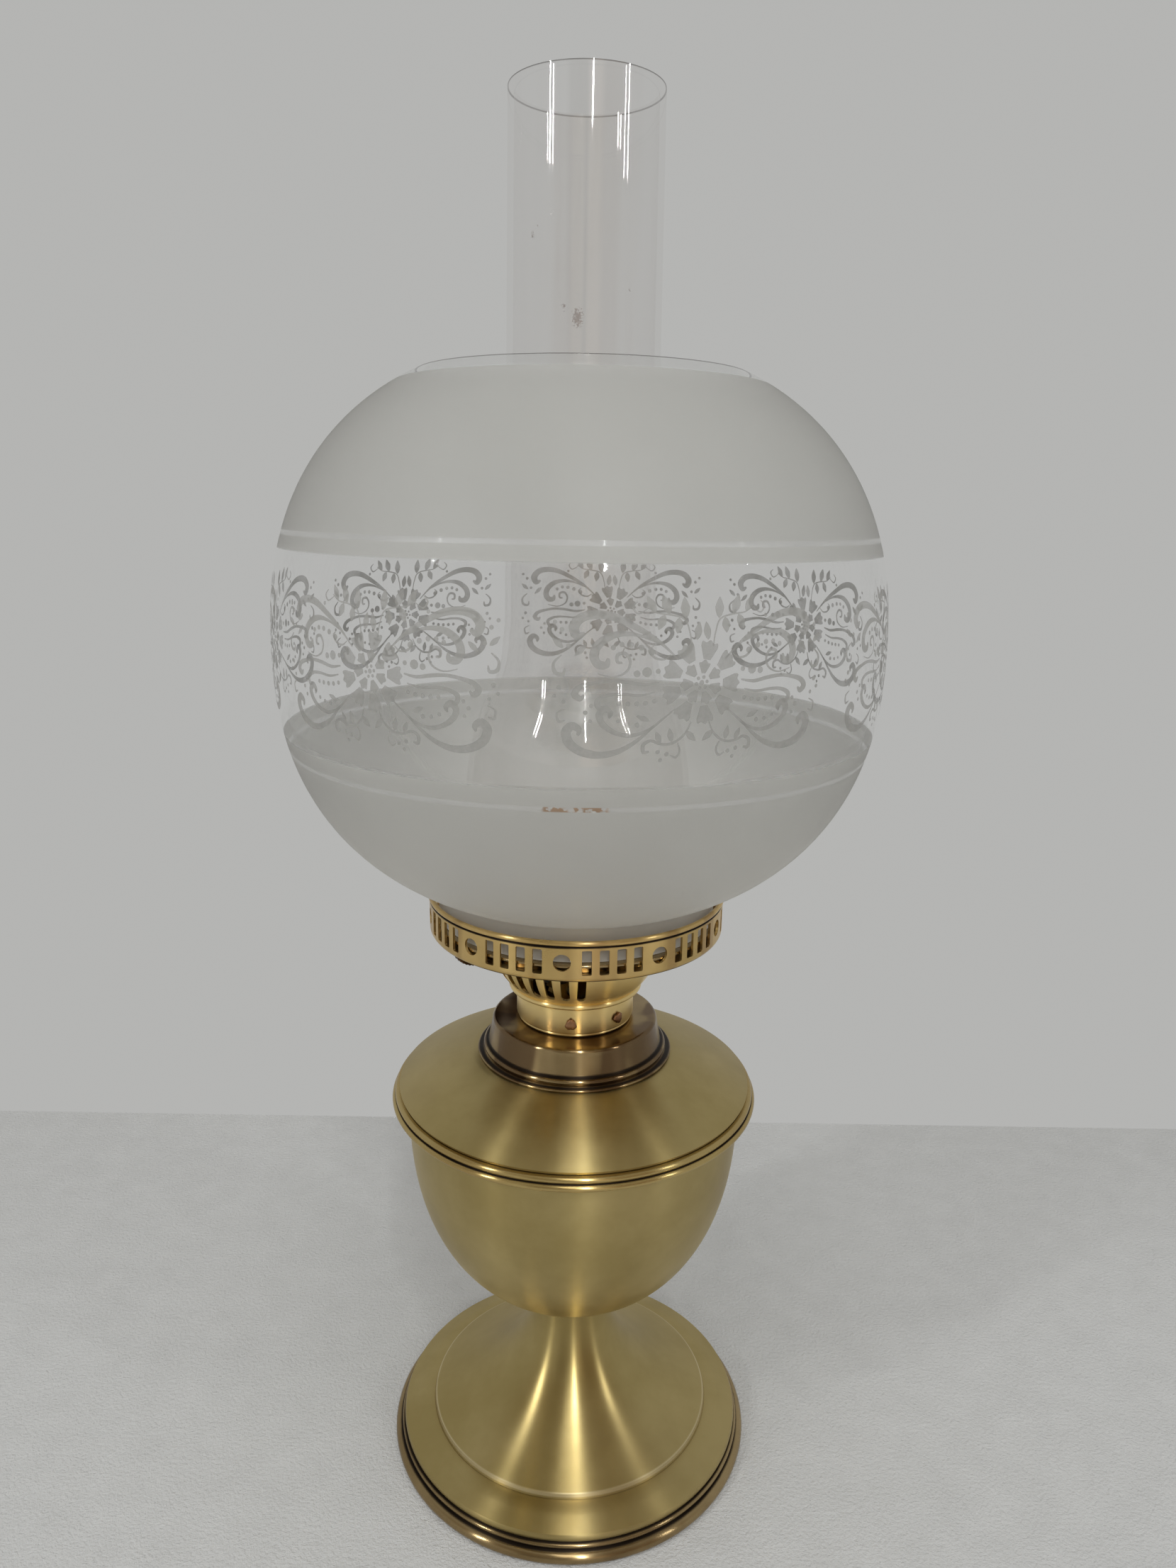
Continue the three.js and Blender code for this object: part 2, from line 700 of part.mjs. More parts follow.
// Burner base: a thread for the collar, a floor with the wick tubes, and a wall with four rivets
const baseWallTop = burnerBase + baseHeight;
const tubeHoles = sides.map(([, sign]) => winderBox(
  tubeWidth + 2 * seatGap,
  tubeThickness + 2 * seatGap,
  baseWall + 2 * cutOverrun,
  0,
  sign * wickSpread,
  burnerBase - cutOverrun,
));
const rivetAngles = [
  rivetAngle - rivetSpread,
  rivetAngle + rivetSpread,
  rivetAngle + 180 - rivetSpread,
  rivetAngle + 180 + rivetSpread,
];
const rivetHoles = rivetAngles.map((angle) => radialPrism(
  circleShape(rivetShankRadius + seatGap, 8),
  2 * cutOverrun + baseWall,
  angle,
  baseWallRadius - baseWall - cutOverrun,
  0,
  burnerBase + rivetHeight,
));
addPiece('burner_base', cutAway(turned([
  [0, burnerBase],
  [threadRadius - threadWall, burnerBase],
  [threadRadius - threadWall, burnerBase - threadLength],
  [threadRadius, burnerBase - threadLength],
  [threadRadius, burnerBase],
  [baseLipRadius, burnerBase],
  [baseWallRadius, burnerBase + (baseWallRadius - baseLipRadius)],
  [baseWallRadius, baseWallTop],
  [baseWallRadius - baseWall, baseWallTop],
  [baseWallRadius - baseWall, burnerBase + 2 * baseWall],
  [baseLipRadius - baseWall, burnerBase + baseWall],
  [0, burnerBase + baseWall],
], mediumSteps), [...tubeHoles, ...rivetHoles]), brightBrass);

rivetAngles.forEach((angle, i) => {
  const profile = turned([
    [0, -baseWall - rivetCrown / 2],
    [rivetShankRadius, -baseWall - rivetCrown / 2],
    [rivetShankRadius, seatGap],
    [rivetRadius, seatGap],
    [rivetRadius * rivetCrownShare, seatGap + rivetCrown * rivetCrownShare],
    [0, seatGap + rivetCrown],
  ], smallSteps);
  profile.rotateX(-Math.PI / 2);
  profile.translate(0, baseWallRadius, burnerBase + rivetHeight);
  profile.rotateZ(THREE.MathUtils.degToRad(180 + angle));
  addPiece(`base_rivet_${i + 1}`, toGeometry(toSolid(profile)), copper);
});

// Air basket: a flared bowl with two groups of upright slots and plain sides for the winders
const basketBead = basketBeadHeight / 2;
const basketCurve = [
  [basketFootRadius, basketBase],
  ...arc(basketBeadRadius - basketBead, basketBase + basketBead, basketBead, -60, 60, 2),
  ...bezier([
    [basketFootRadius + basketWall / 2, basketBase + basketBeadHeight],
    [basketTopRadius - basketWall, basketBase + basketHeight * basketFlareShare],
    [basketTopRadius, basketTop - basketWall],
  ], 3),
];
const basketInside = sheet(basketCurve, basketWall).slice(basketCurve.length);
const basketOutline = [
  ...basketCurve,
  [basketTopRadius + basketFlangeReach, basketTop - basketWall],
  [basketTopRadius + basketFlangeReach, basketTop],
  [basketTopRadius - basketWall, basketTop],
  ...basketInside.slice(1, -1),
  [baseWallRadius - baseWall, basketBase + basketWall],
  [baseWallRadius - baseWall, basketBase],
];
const slotBase = basketBase + basketBeadHeight + basketSlotWidth * basketSlotStartShare;
const slotRise = Math.atan2(basketHeight - basketBeadHeight, basketTopRadius - basketFootRadius);
const slotHeight = basketSlotLength * Math.sin(slotRise);
const slotStart = basketFootRadius - 4 * basketBeadHeight;
const slotCutters = [];
for (const start of basketSlotGroupStarts) {
  for (let i = 0; i < basketSlotsPerGroup; i += 1) {
    slotCutters.push(radialPrism(
      roundRectangle(basketSlotWidth, slotHeight, basketSlotWidth / 3, 1),
      basketTopRadius,
      start + i * basketSlotPitch,
      slotStart,
      0,
      slotBase + slotHeight / 2,
    ));
  }
}
const shaftHoles = sides.map(([, sign]) => alongWinder(turned([
  [0, slotStart],
  [winderRadius + seatGap, slotStart],
  [winderRadius + seatGap, basketTopRadius + cutOverrun],
  [0, basketTopRadius + cutOverrun],
], smallSteps), 0, sign * winderSpread));
const basketCutters = [...slotCutters, ...shaftHoles];
addPiece('air_basket', cutAway(turned(basketOutline, mediumSteps), basketCutters), brightBrass);

// Gallery: a pierced band with a rolled lip and an inward flange
const galleryTop = galleryBase + galleryHeight;
const lipRadius = galleryRadius - galleryLipRadius / 2;
const footRoundRadius = galleryRadius - galleryFootRound;
const galleryOutline = [
  [galleryInnerLipRadius, galleryBase],
  ...arc(footRoundRadius, galleryBase + galleryFootRound, galleryFootRound, -90, 0, 3),
  [galleryRadius, galleryTop - 2 * galleryLipRadius],
  ...arc(lipRadius, galleryTop - galleryLipRadius, galleryLipRadius, -60, 120, 4),
  [galleryRadius - galleryWall, galleryTop - 2 * galleryLipRadius],
  [galleryRadius - galleryWall, galleryBase + galleryFootRound],
  [footRoundRadius, galleryBase + galleryWall],
  [galleryInnerLipRadius, galleryBase + galleryWall],
];
const galleryCutters = [];
const cutterDepth = 3 * galleryWall + 2 * cutOverrun;
const cutterStart = galleryRadius - 2 * galleryWall - cutOverrun;
for (let i = 0; i < galleryRepeat; i += 1) {
  const turn = (i * 360) / galleryRepeat;
  galleryCutters.push(radialPrism(
    circleShape(galleryHoleRadius, smallSteps),
    cutterDepth,
    galleryHoleAngle + turn,
    cutterStart,
    0,
    galleryBase + galleryHoleHeight,
  ));
  for (let k = 0; k < gallerySlotsPerGroup; k += 1) {
    const offset = (k - (gallerySlotsPerGroup - 1) / 2) * gallerySlotPitch;
    galleryCutters.push(radialPrism(
      roundRectangle(gallerySlotWidth, gallerySlotHeight, 0, 0),
      cutterDepth,
      gallerySlotAngle + turn + offset,
      cutterStart,
      0,
      galleryBase + galleryHoleHeight,
    ));
  }
}
addPiece('gallery_band', cutAway(turned(galleryOutline, wideSteps), galleryCutters), brightBrass);

// Gallery floor: carries the chimney, and its raised ledge carries the shade
const vents = [];
for (let i = 0; i < floorVents; i += 1) {
  const vent = new THREE.ExtrudeGeometry(circleShape(floorVentRadius, 6), {
    depth: floorWall + 2 * cutOverrun,
    bevelEnabled: false,
  });
  vent.translate(floorVentCircle, 0, floorBase - cutOverrun);
  vent.rotateZ((i * 2 * Math.PI) / floorVents);
  vents.push(vent);
}
addPiece('gallery_floor', cutAway(turned([
  [floorHoleRadius, floorBase],
  [ledgeInnerRadius + floorWall, floorBase],
  [ledgeInnerRadius + floorWall, ledgeTop - floorWall],
  [ledgeOuterRadius, ledgeTop - floorWall],
  [ledgeOuterRadius, ledgeTop],
  [ledgeInnerRadius, ledgeTop],
  [ledgeInnerRadius, floorTop],
  [floorHoleRadius, floorTop],
], mediumSteps), vents), tarnishedBrass);

// Flame spreader: a dome over the wicks with a slot above each
function domeCurve(radius, foot, top) {
  const rise = top - coneBase;
  return bezier([
    [radius, foot],
    [radius - coneWall, coneBase + rise * coneShoulderShare],
    [radius / 2, coneBase + rise * coneCrownShare],
    [0, top],
  ], 5);
}
const coneTop = coneBase + coneHeight;
const coneOutline = [
  [coneFlangeRadius, coneBase],
  [coneFlangeRadius, coneBase + coneWall],
  ...domeCurve(coneRadius, coneBase + coneWall, coneTop),
  ...domeCurve(coneRadius - coneWall, coneBase, coneTop - coneWall).reverse(),
];
const coneSlots = sides.map(([, sign]) => winderBox(
  wickWidth + coneSlotLengthSlack,
  wickThickness + coneSlotWidthSlack,
  coneHeight,
  0,
  sign * wickSpread,
  coneBase + coneHeight * coneSlotHeightShare,
));
addPiece('flame_spreader', cutAway(turned(coneOutline, narrowSteps), coneSlots), brightBrass);

// Chimney: a blown glass tube with a swelling round the flame
const chimneyOutside = chimneyHeightShares.map((share, i) => {
  const straight = share < chimneyHeightShares[chimneySwellShares.indexOf(1)]
    ? chimneyFootRadius
    : chimneyTubeRadius;
  const radius = straight + (chimneyBulgeRadius - straight) * chimneySwellShares[i];
  return [radius, chimneyBase + chimneySwellHeight * share];
});
chimneyOutside.push([chimneyTopRadius, chimneyTop]);
addTurned('chimney', sheet(chimneyOutside, chimneyWall), mediumSteps, clearGlass);

// The chimney's outside radius at a height
function chimneyReach(height) {
  const next = chimneyOutside.findIndex(([, z]) => z > height);
  const [r0, z0] = chimneyOutside[next - 1];
  const [r1, z1] = chimneyOutside[next];
  return r0 + ((r1 - r0) * (height - z0)) / (z1 - z0);
}

// Springs that grip the foot of the chimney and lean out with its swelling
const springInner = chimneyFootRadius + 2 * seatGap;
const springBase = floorTop + seatGap;
const springTop = floorTop + springHeight;
const springLean = chimneyReach(springTop) + springEase - chimneyFootRadius;
for (let i = 0; i < springCount; i += 1) {
  const outline = new THREE.Shape();
  outline.setFromPoints([
    [springInner, springBase],
    [springInner + springFoot, springBase],
    [springInner + springFoot, springBase + springThickness],
    [springInner + springThickness, springBase + springThickness],
    [springInner + springThickness, floorTop + springHeight / 3],
    [springInner + springLean + springThickness, springTop],
    [springInner + springLean, springTop],
    [springInner, floorTop + springHeight / 3],
  ].map(([r, z]) => new THREE.Vector2(r, z)));
  const strip = new THREE.ExtrudeGeometry(outline, { depth: springWidth, bevelEnabled: false });
  strip.translate(0, 0, -springWidth / 2);
  strip.rotateX(Math.PI / 2);
  strip.rotateZ(THREE.MathUtils.degToRad(springAngle - 90 + (i * 360) / springCount));
  addPiece(`chimney_spring_${i + 1}`, strip, brightBrass);
}

// Ball shade: a neck that stands on the ledge, a flattened ball and a ground mouth
const neckAngle = -Math.acos((shadeNeckRadius / shadeRadius) ** (shadePower / 2));
const mouthAngle = Math.acos((shadeMouthRadius / shadeRadius) ** (shadePower / 2));

// The height of a point of the ball above its widest line
function shadeLift(angle) {
  const reach = angle < 0 ? shadeBottomReach : shadeTopReach;
  return Math.sign(angle) * reach * Math.abs(Math.sin(angle)) ** (2 / shadePower);
}
const shadeMiddle = shadeBase + shadeNeckHeight - shadeLift(neckAngle);
const shadeOutside = [[shadeNeckRadius, shadeBase]];
for (let i = -shadeSteps; i <= shadeSteps; i += 1) {
  const share = (Math.abs(i) / shadeSteps) ** shadeStepShare;
  const angle = share * (i < 0 ? neckAngle : mouthAngle);
  const radius = shadeRadius * Math.cos(angle) ** (2 / shadePower);
  shadeOutside.push([radius, shadeMiddle + shadeLift(angle)]);
}
addTurned('ball_shade', sheet(shadeOutside, shadeWall), wideSteps, frostedGlass);

export default lamp;
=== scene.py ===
import math
import random

import bpy
from mathutils import Matrix, Vector


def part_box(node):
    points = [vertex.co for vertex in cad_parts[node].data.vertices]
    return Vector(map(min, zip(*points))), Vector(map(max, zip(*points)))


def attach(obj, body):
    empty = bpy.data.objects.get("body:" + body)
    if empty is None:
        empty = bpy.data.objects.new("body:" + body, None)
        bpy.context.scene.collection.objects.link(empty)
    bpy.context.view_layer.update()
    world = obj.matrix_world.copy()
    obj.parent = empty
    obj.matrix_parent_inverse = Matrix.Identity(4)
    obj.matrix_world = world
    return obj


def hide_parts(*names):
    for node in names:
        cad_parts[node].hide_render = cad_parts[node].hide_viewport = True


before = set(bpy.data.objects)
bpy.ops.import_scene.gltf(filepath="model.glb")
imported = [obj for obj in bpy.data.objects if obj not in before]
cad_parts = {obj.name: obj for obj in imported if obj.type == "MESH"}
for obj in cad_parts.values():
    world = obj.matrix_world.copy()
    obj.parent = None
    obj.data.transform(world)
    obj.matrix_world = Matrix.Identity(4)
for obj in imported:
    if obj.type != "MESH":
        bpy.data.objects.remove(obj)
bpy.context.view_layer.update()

# Camera
# The lamp is seen from a little above, close to, with the camera leaning slightly to one
# side. The picture's long side is its height, so the sensor's width counts along it.
mm = 0.001
camera_pitch = math.radians(14.06)
camera_roll = math.radians(0.90)
camera_place = Vector((3.57, -379.0, 360.5)) * mm
picture_height_px = 2212
focal_length_px = 1560
sensor_mm = 36.0
camera_data = bpy.data.cameras.new("camera")
camera_data.sensor_width = sensor_mm
camera_data.lens = sensor_mm * focal_length_px / picture_height_px
camera_data.clip_start = 0.01
camera = bpy.data.objects.new("camera", camera_data)
bpy.context.scene.collection.objects.link(camera)
look = Matrix.Rotation(math.pi / 2 - camera_pitch, 4, "X") @ Matrix.Rotation(camera_roll, 4, "Z")
camera.matrix_world = Matrix.Translation(camera_place) @ look
bpy.context.scene.camera = camera
bpy.context.scene.view_settings.view_transform = "Standard"
bpy.context.scene.cycles.transparent_max_bounces = 32


# Table
# A pale cloth-covered table, a large flat sheet with a fleecy mottle that only stages the
# lamp. Its far edge is where the plain pale room behind it begins.
class Wire:
    """One value of a material, so that its maths can be written as an expression."""

    def __init__(self, finish, socket):
        self.finish = finish
        self.socket = socket

    def _math(self, operation, *values):
        return self.finish.node("ShaderNodeMath", {"operation": operation}, dict(enumerate(values)))

    def __add__(self, other):
        return self._math("ADD", self, other)

    __radd__ = __add__

    def __sub__(self, other):
        return self._math("SUBTRACT", self, other)

    def __rsub__(self, other):
        return self._math("SUBTRACT", other, self)

    def __mul__(self, other):
        return self._math("MULTIPLY", self, other)

    __rmul__ = __mul__

    def __truediv__(self, other):
        return self._math("DIVIDE", self, other)

    def __pow__(self, power):
        return self._math("POWER", self, power)

    def sine(self):
        return self._math("SINE", self)

    def size(self):
        return self._math("ABSOLUTE", self)

    def smallest(self, other):
        return self._math("MINIMUM", self, other)

    def largest(self, other):
        return self._math("MAXIMUM", self, other)

    def angle_to(self, other):
        return self._math("ARCTAN2", self, other)

    def step(self, low, high):
        """0 below low, 1 above high and smooth between them."""
        inputs = {"Value": self, "From Min": low, "From Max": high}
        return self.finish.node("ShaderNodeMapRange", {"interpolation_type": "SMOOTHSTEP"}, inputs)


class Finish:
    """A material that is built node by node."""

    def __init__(self, name, owner=None):
        self.material = owner or bpy.data.materials.new(name)
        self.material.use_nodes = True
        self.tree = self.material.node_tree
        self.tree.nodes.clear()

    def node(self, kind, settings=None, inputs=None, output=0):
        made = self.tree.nodes.new(kind)
        for name, value in (settings or {}).items():
            if name == "stops":
                self._set_stops(made.color_ramp.elements, value)
            else:
                setattr(made, name, value)
        for name, value in (inputs or {}).items():
            if isinstance(value, Wire):
                self.tree.links.new(value.socket, made.inputs[name])
            else:
                made.inputs[name].default_value = value
        return Wire(self, made.outputs[output]) if made.outputs else None

    @staticmethod
    def _set_stops(elements, stops):
        while len(elements) < len(stops):
            elements.new(0.5)
        for element, (place, colour) in zip(elements, stops):
            element.position = place
            element.color = (*colour, 1)

    def place(self):
        """Object coordinates, as a vector in metres from the lamp's foot."""
        return self.node("ShaderNodeTexCoord", output="Object")

    def parts(self, vector):
        made = self.tree.nodes.new("ShaderNodeSeparateXYZ")
        self.tree.links.new(vector.socket, made.inputs[0])
        return [Wire(self, made.outputs[i]) for i in range(3)]

    def vector(self, x, y, z):
        return self.node("ShaderNodeCombineXYZ", inputs={0: x, 1: y, 2: z})

    def noise(self, vector, scale, detail=3.0, roughness=0.5):
        inputs = {"Vector": vector, "Scale": scale, "Detail": detail, "Roughness": roughness}
        return self.node("ShaderNodeTexNoise", inputs=inputs)

    def blend(self, amount, first, second):
        colours = [(*c, 1) if isinstance(c, tuple) else c for c in (first, second)]
        inputs = {0: amount, 6: colours[0], 7: colours[1]}
        return self.node("ShaderNodeMix", {"data_type": "RGBA"}, inputs, 2)

    def bump(self, height, depth):
        inputs = {"Strength": 1.0, "Distance": depth, "Height": height}
        return self.node("ShaderNodeBump", inputs=inputs)

    def surface(self, **inputs):
        """The one shader of a plain surface, with its inputs by name."""
        named = {name.replace("_", " "): value for name, value in inputs.items()}
        return self.node("ShaderNodeBsdfPrincipled", inputs=named)

    def done(self, shader):
        self.node("ShaderNodeOutputMaterial", inputs={"Surface": shader})
        return self.material


def dress(piece, material):
    piece.data.materials.clear()
    piece.data.materials.append(material)


def cloth_finish():
    finish = Finish("table_cloth")
    place = finish.place()
    mottle = finish.noise(place, 60.0, 4.0)
    pile = finish.noise(place, 700.0, 3.0, 0.7)
    colour = finish.blend(mottle, (0.58, 0.575, 0.56), (0.66, 0.655, 0.64))
    bump = finish.bump(pile + mottle, 0.9 * mm)
    return finish.done(finish.surface(Base_Color=colour, Roughness=0.95, Normal=bump))


table_half = 1600 * mm
table_far_edge = 222 * mm
bpy.ops.object.select_all(action="DESELECT")
bpy.ops.mesh.primitive_plane_add(size=2 * table_half, location=(0, table_far_edge - table_half, 0))
table = bpy.context.object
table.name = "table"
dress(table, cloth_finish())


# Light
# Three tall narrow windows before the lamp, the middle one the strongest, and a long soft
# light overhead. The room is plain and pale; only what the brass and the glass mirror of its
# front side is toned, as a room with furniture in it is.
def soft_light(name, place, target, width, height, power, colour):
    data = bpy.data.lights.new(name, "AREA")
    data.shape = "RECTANGLE"
    data.size = width
    data.size_y = height
    data.energy = power
    data.color = colour
    light = bpy.data.objects.new(name, data)
    bpy.context.scene.collection.objects.link(light)
    aim = (Vector(target) - Vector(place)).to_track_quat("-Z", "Y")
    light.matrix_world = Matrix.Translation(Vector(place)) @ aim.to_matrix().to_4x4()


lamp_middle = (0, 0, 0.22)
soft_light("window_light", (0.20, -1.25, 1.23), lamp_middle, 0.024, 0.75, 6.5, (0.95, 0.99, 1.0))
soft_light("left_light", (-1.1, -0.85, 1.09), lamp_middle, 0.018, 0.48, 4.4, (0.97, 0.99, 1.0))
soft_light("right_light", (1.2, -0.65, 1.05), lamp_middle, 0.02, 0.45, 1.8, (0.97, 0.99, 1.0))
soft_light("ceiling_light", (0.03, -0.55, 1.45), lamp_middle, 0.3, 1.1, 2.8, (1.0, 1.0, 1.0))
plain_wall = (0.46, 0.46, 0.45)
room = Finish("room", bpy.data.worlds.new("room"))
view_x, view_y, view_z = room.parts(room.node("ShaderNodeTexCoord", output="Generated"))
mirrored = room.node("ShaderNodeLightPath", output="Is Glossy Ray")
shown = room.node("ShaderNodeLightPath", output="Is Camera Ray")
shown = shown + room.node("ShaderNodeLightPath", output="Is Transmission Ray")
high_wall = room.node("ShaderNodeValToRGB", {"stops": [
    (0.50, (0.34, 0.30, 0.25)), (0.80, (0.32, 0.28, 0.22)),
    (0.93, (0.50, 0.50, 0.49)), (1.0, (0.70, 0.71, 0.70)),
]}, {"Fac": view_z})
low_wall = room.node("ShaderNodeValToRGB", {"stops": [
    (0.0, plain_wall), (0.26, (0.52, 0.51, 0.49)), (0.32, (0.27, 0.25, 0.22)),
    (0.50, (0.26, 0.23, 0.19)), (0.55, (0.70, 0.60, 0.50)), (0.66, (0.68, 0.57, 0.46)),
    (0.73, (0.26, 0.19, 0.14)), (0.86, (0.28, 0.21, 0.15)), (0.93, (0.46, 0.45, 0.43)),
]}, {"Fac": view_x * 0.5 + 0.5})
front_wall = room.blend(view_z.step(0.40, 0.56), low_wall, high_wall)
walls = room.blend((view_y * -1.0).step(-0.15, 0.35), plain_wall, front_wall)
seen = room.blend(mirrored, (0.46, 0.46, 0.455), walls)
seen = room.blend(shown.smallest(1.0), seen, plain_wall)
background = room.node("ShaderNodeBackground", inputs={"Color": seen})
room.node("ShaderNodeOutputWorld", inputs={"Surface": background})
bpy.context.scene.world = room.material


# Foot rim
# The rolled brass bead that the lamp stands on, with a thin ridge above it, spun from one
# strip and gone brown in its grooves.
seat_gap = 0.3 * mm
spun_edge_angle = 32


def arc(centre_r, centre_z, radius, start, end, steps):
    """Points of an arc, its angles in degrees from outwards towards up."""
    turns = [math.radians(start + (end - start) * i / steps) for i in range(steps + 1)]
    return [(centre_r + radius * math.cos(a), centre_z + radius * math.sin(a)) for a in turns]


def bezier(corners, steps):
    """Points of a curve pulled by three or four corners."""
    points = []
    degree = len(corners) - 1
    for i in range(steps + 1):
        t = i / steps
        weights = [math.comb(degree, k) * t**k * (1 - t) ** (degree - k) for k in range(degree + 1)]
        points.append(tuple(sum(w * c[axis] for w, c in zip(weights, corners)) for axis in (0, 1)))
    return points


def sheet_outline(outside, wall_thickness):
    """A closed outline of even thickness whose outside is read upwards."""
    inside = []
    for i, point in enumerate(outside):
        before = Vector(outside[max(i - 1, 0)])
        after = Vector(outside[min(i + 1, len(outside) - 1)])
        run = (after - before).normalized()
        inside.append((max(point[0] - run.y * wall_thickness, 0), point[1] + run.x * wall_thickness))
    return outside + inside[::-1]


def drawn(name, points, fill="NOTHING"):
    """A circle of points that is pulled into an outline, point by point."""
    bpy.ops.object.select_all(action="DESELECT")
    bpy.ops.mesh.primitive_circle_add(vertices=len(points), radius=mm, fill_type=fill)
    piece = bpy.context.object
    piece.name = name
    for vertex, point in zip(piece.data.vertices, points):
        vertex.co = point
    return piece


def turned(name, outline, steps, smooth_angle=spun_edge_angle):
    """A closed ring: an outline of radii and heights, spun round the axis."""
    piece = drawn(name, [(radius, 0, height) for radius, height in outline])
    bpy.ops.object.mode_set(mode="EDIT")
    bpy.ops.mesh.select_all(action="SELECT")
    bpy.ops.mesh.spin(steps=steps, angle=2 * math.pi, center=(0, 0, 0), axis=(0, 0, 1))
    bpy.ops.mesh.select_all(action="SELECT")
    bpy.ops.mesh.remove_doubles(threshold=0.002 * mm)
    bpy.ops.mesh.normals_make_consistent(inside=False)
    bpy.ops.object.mode_set(mode="OBJECT")
    bpy.ops.object.shade_smooth_by_angle(angle=math.radians(smooth_angle))
    return piece


def spun_brass(name, light, dark, stain, rough, stain_amount, grooves=(), painted_reflection_bands=0.0, painted_glint_edges=()):
    """Lathe-spun brass: fine rings, soft cloudy tone, stains, black dirt in the grooves.

    A groove is given by its radius, its height and how far its dirt spreads, and so is an edge
    that gets a painted highlight: a pale line painted on as the glint of a rounded edge. The amount
    of upright bands says how strongly dark bands that run up and down are painted in, a painted
    reflection of the dark streaks that shiny brass mirrors.
    """
    finish = Finish(name)
    place = finish.place()
    x, y, z = finish.parts(place)
    radius = (x * x + y * y) ** 0.5
    around = y.angle_to(x)
    cloud = finish.noise(place, 22.0, 5.0, 0.6)
    blotch = finish.noise(place, 9.0, 4.0, 0.65)
    rings = finish.noise(finish.vector(radius, z, around * 0.0015), 2600.0, 2.0, 0.7)
    streaks = finish.noise(finish.vector(radius, z, around * 0.004), 420.0, 3.0, 0.6)
    tone = finish.blend(cloud.step(0.3, 0.72), dark, light)
    stained = blotch.step(0.52, 0.78) * stain_amount
    colour = finish.blend(stained, tone, stain)
    # Painted reflection: dark bands that run up and down, painted in the stain colour as the dark
    # streaks that shiny brass mirrors.
    painted_band_mask = finish.noise(finish.vector(x, y, z * 0.08), 62.0, 2.0, 0.5).step(0.47, 0.57)
    colour = finish.blend(painted_band_mask * painted_reflection_bands, colour, stain)
    roughness = rough + 0.14 * (cloud - 0.5) + 0.06 * (streaks - 0.5) + 0.22 * stained
    for groove_radius, groove_height, spread in grooves:
        away = ((radius - groove_radius) ** 2.0 + (z - groove_height) ** 2.0) ** 0.5
        grime = 1 - (away + (cloud - 0.5) * spread).step(spread * 0.35, spread)
        colour = finish.blend(grime, colour, (0.035, 0.025, 0.018))
        roughness = roughness + 0.3 * grime
    # Painted highlight: each given edge is painted paler along a thin line, as the glint of light on
    # it.
    for edge_radius, edge_height, spread in painted_glint_edges:
        away = ((radius - edge_radius) ** 2.0 + (z - edge_height) ** 2.0) ** 0.5
        painted_glint_mask = 1 - (away + (streaks - 0.5) * spread * 0.5).step(spread * 0.4, spread)
        colour = finish.blend(0.4 * painted_glint_mask, colour, (0.98, 0.86, 0.58))
    bump = finish.bump(rings + streaks * 0.3, 0.006 * mm)
    return finish.done(finish.surface(
        Base_Color=colour, Metallic=1.0, Roughness=roughness, Normal=bump,
        Anisotropic=0.95, Anisotropic_Rotation=0.25
    ))


def heights(node):
    """The foot and top height of a CAD node."""
    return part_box(node)[0][2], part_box(node)[1][2]


satin_look = ((0.53, 0.42, 0.19), (0.41, 0.315, 0.125), (0.27, 0.18, 0.08), 0.32, 0.35)
bright_look = ((0.56, 0.43, 0.18), (0.44, 0.31, 0.12), (0.24, 0.14, 0.06), 0.25, 0.45)
brown_look = ((0.43, 0.32, 0.165), (0.27, 0.19, 0.09), (0.12, 0.07, 0.038), 0.20, 0.75)
# Painted light: the burner's yellow brass is painted far brighter than it is, making up for the shade
# it stands in under the gallery.
painted_lit_look = ((1.0, 0.78, 0.37), (0.88, 0.66, 0.28), (0.50, 0.31, 0.14), 0.31, 0.3)
rosy_look = ((0.80, 0.57, 0.24), (0.60, 0.42, 0.16), (0.36, 0.21, 0.09), 0.29, 0.8)
satin_brass = spun_brass("satin_spun_brass", *satin_look)
bright_brass = spun_brass("yellow_brass", *bright_look)
brown_brass = spun_brass("browned_brass", *brown_look)

foot_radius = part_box("foot_rim")[1][0]
foot_bead = 2.2 * mm
foot_ridge = 0.8 * mm
foot_ridge_reach = 67.5 * mm
foot_groove_radius = 66.0 * mm
foot_rim_inner = 63.6 * mm
foot_rim_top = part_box("foot_rim")[1][2]
foot_rim = turned("foot_rim_turned", [
    (foot_rim_inner, 0),
    *arc(foot_radius - foot_bead, foot_bead, foot_bead, -90, 75, 14),
    (foot_groove_radius, 2 * foot_bead + seat_gap / 2),
    *arc(foot_ridge_reach - foot_ridge, foot_rim_top - foot_ridge, foot_ridge, -90, 90, 8),
    (foot_rim_inner, foot_rim_top),
], 192)
foot_grooves = [
    (foot_groove_radius + mm, 2 * foot_bead + seat_gap / 2, 1.6 * mm),
    (foot_groove_radius, foot_rim_top, 1.3 * mm),
]
dress(foot_rim, spun_brass("foot_rim_brass", *brown_look, foot_grooves))
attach(foot_rim, "base")
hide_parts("foot_rim")


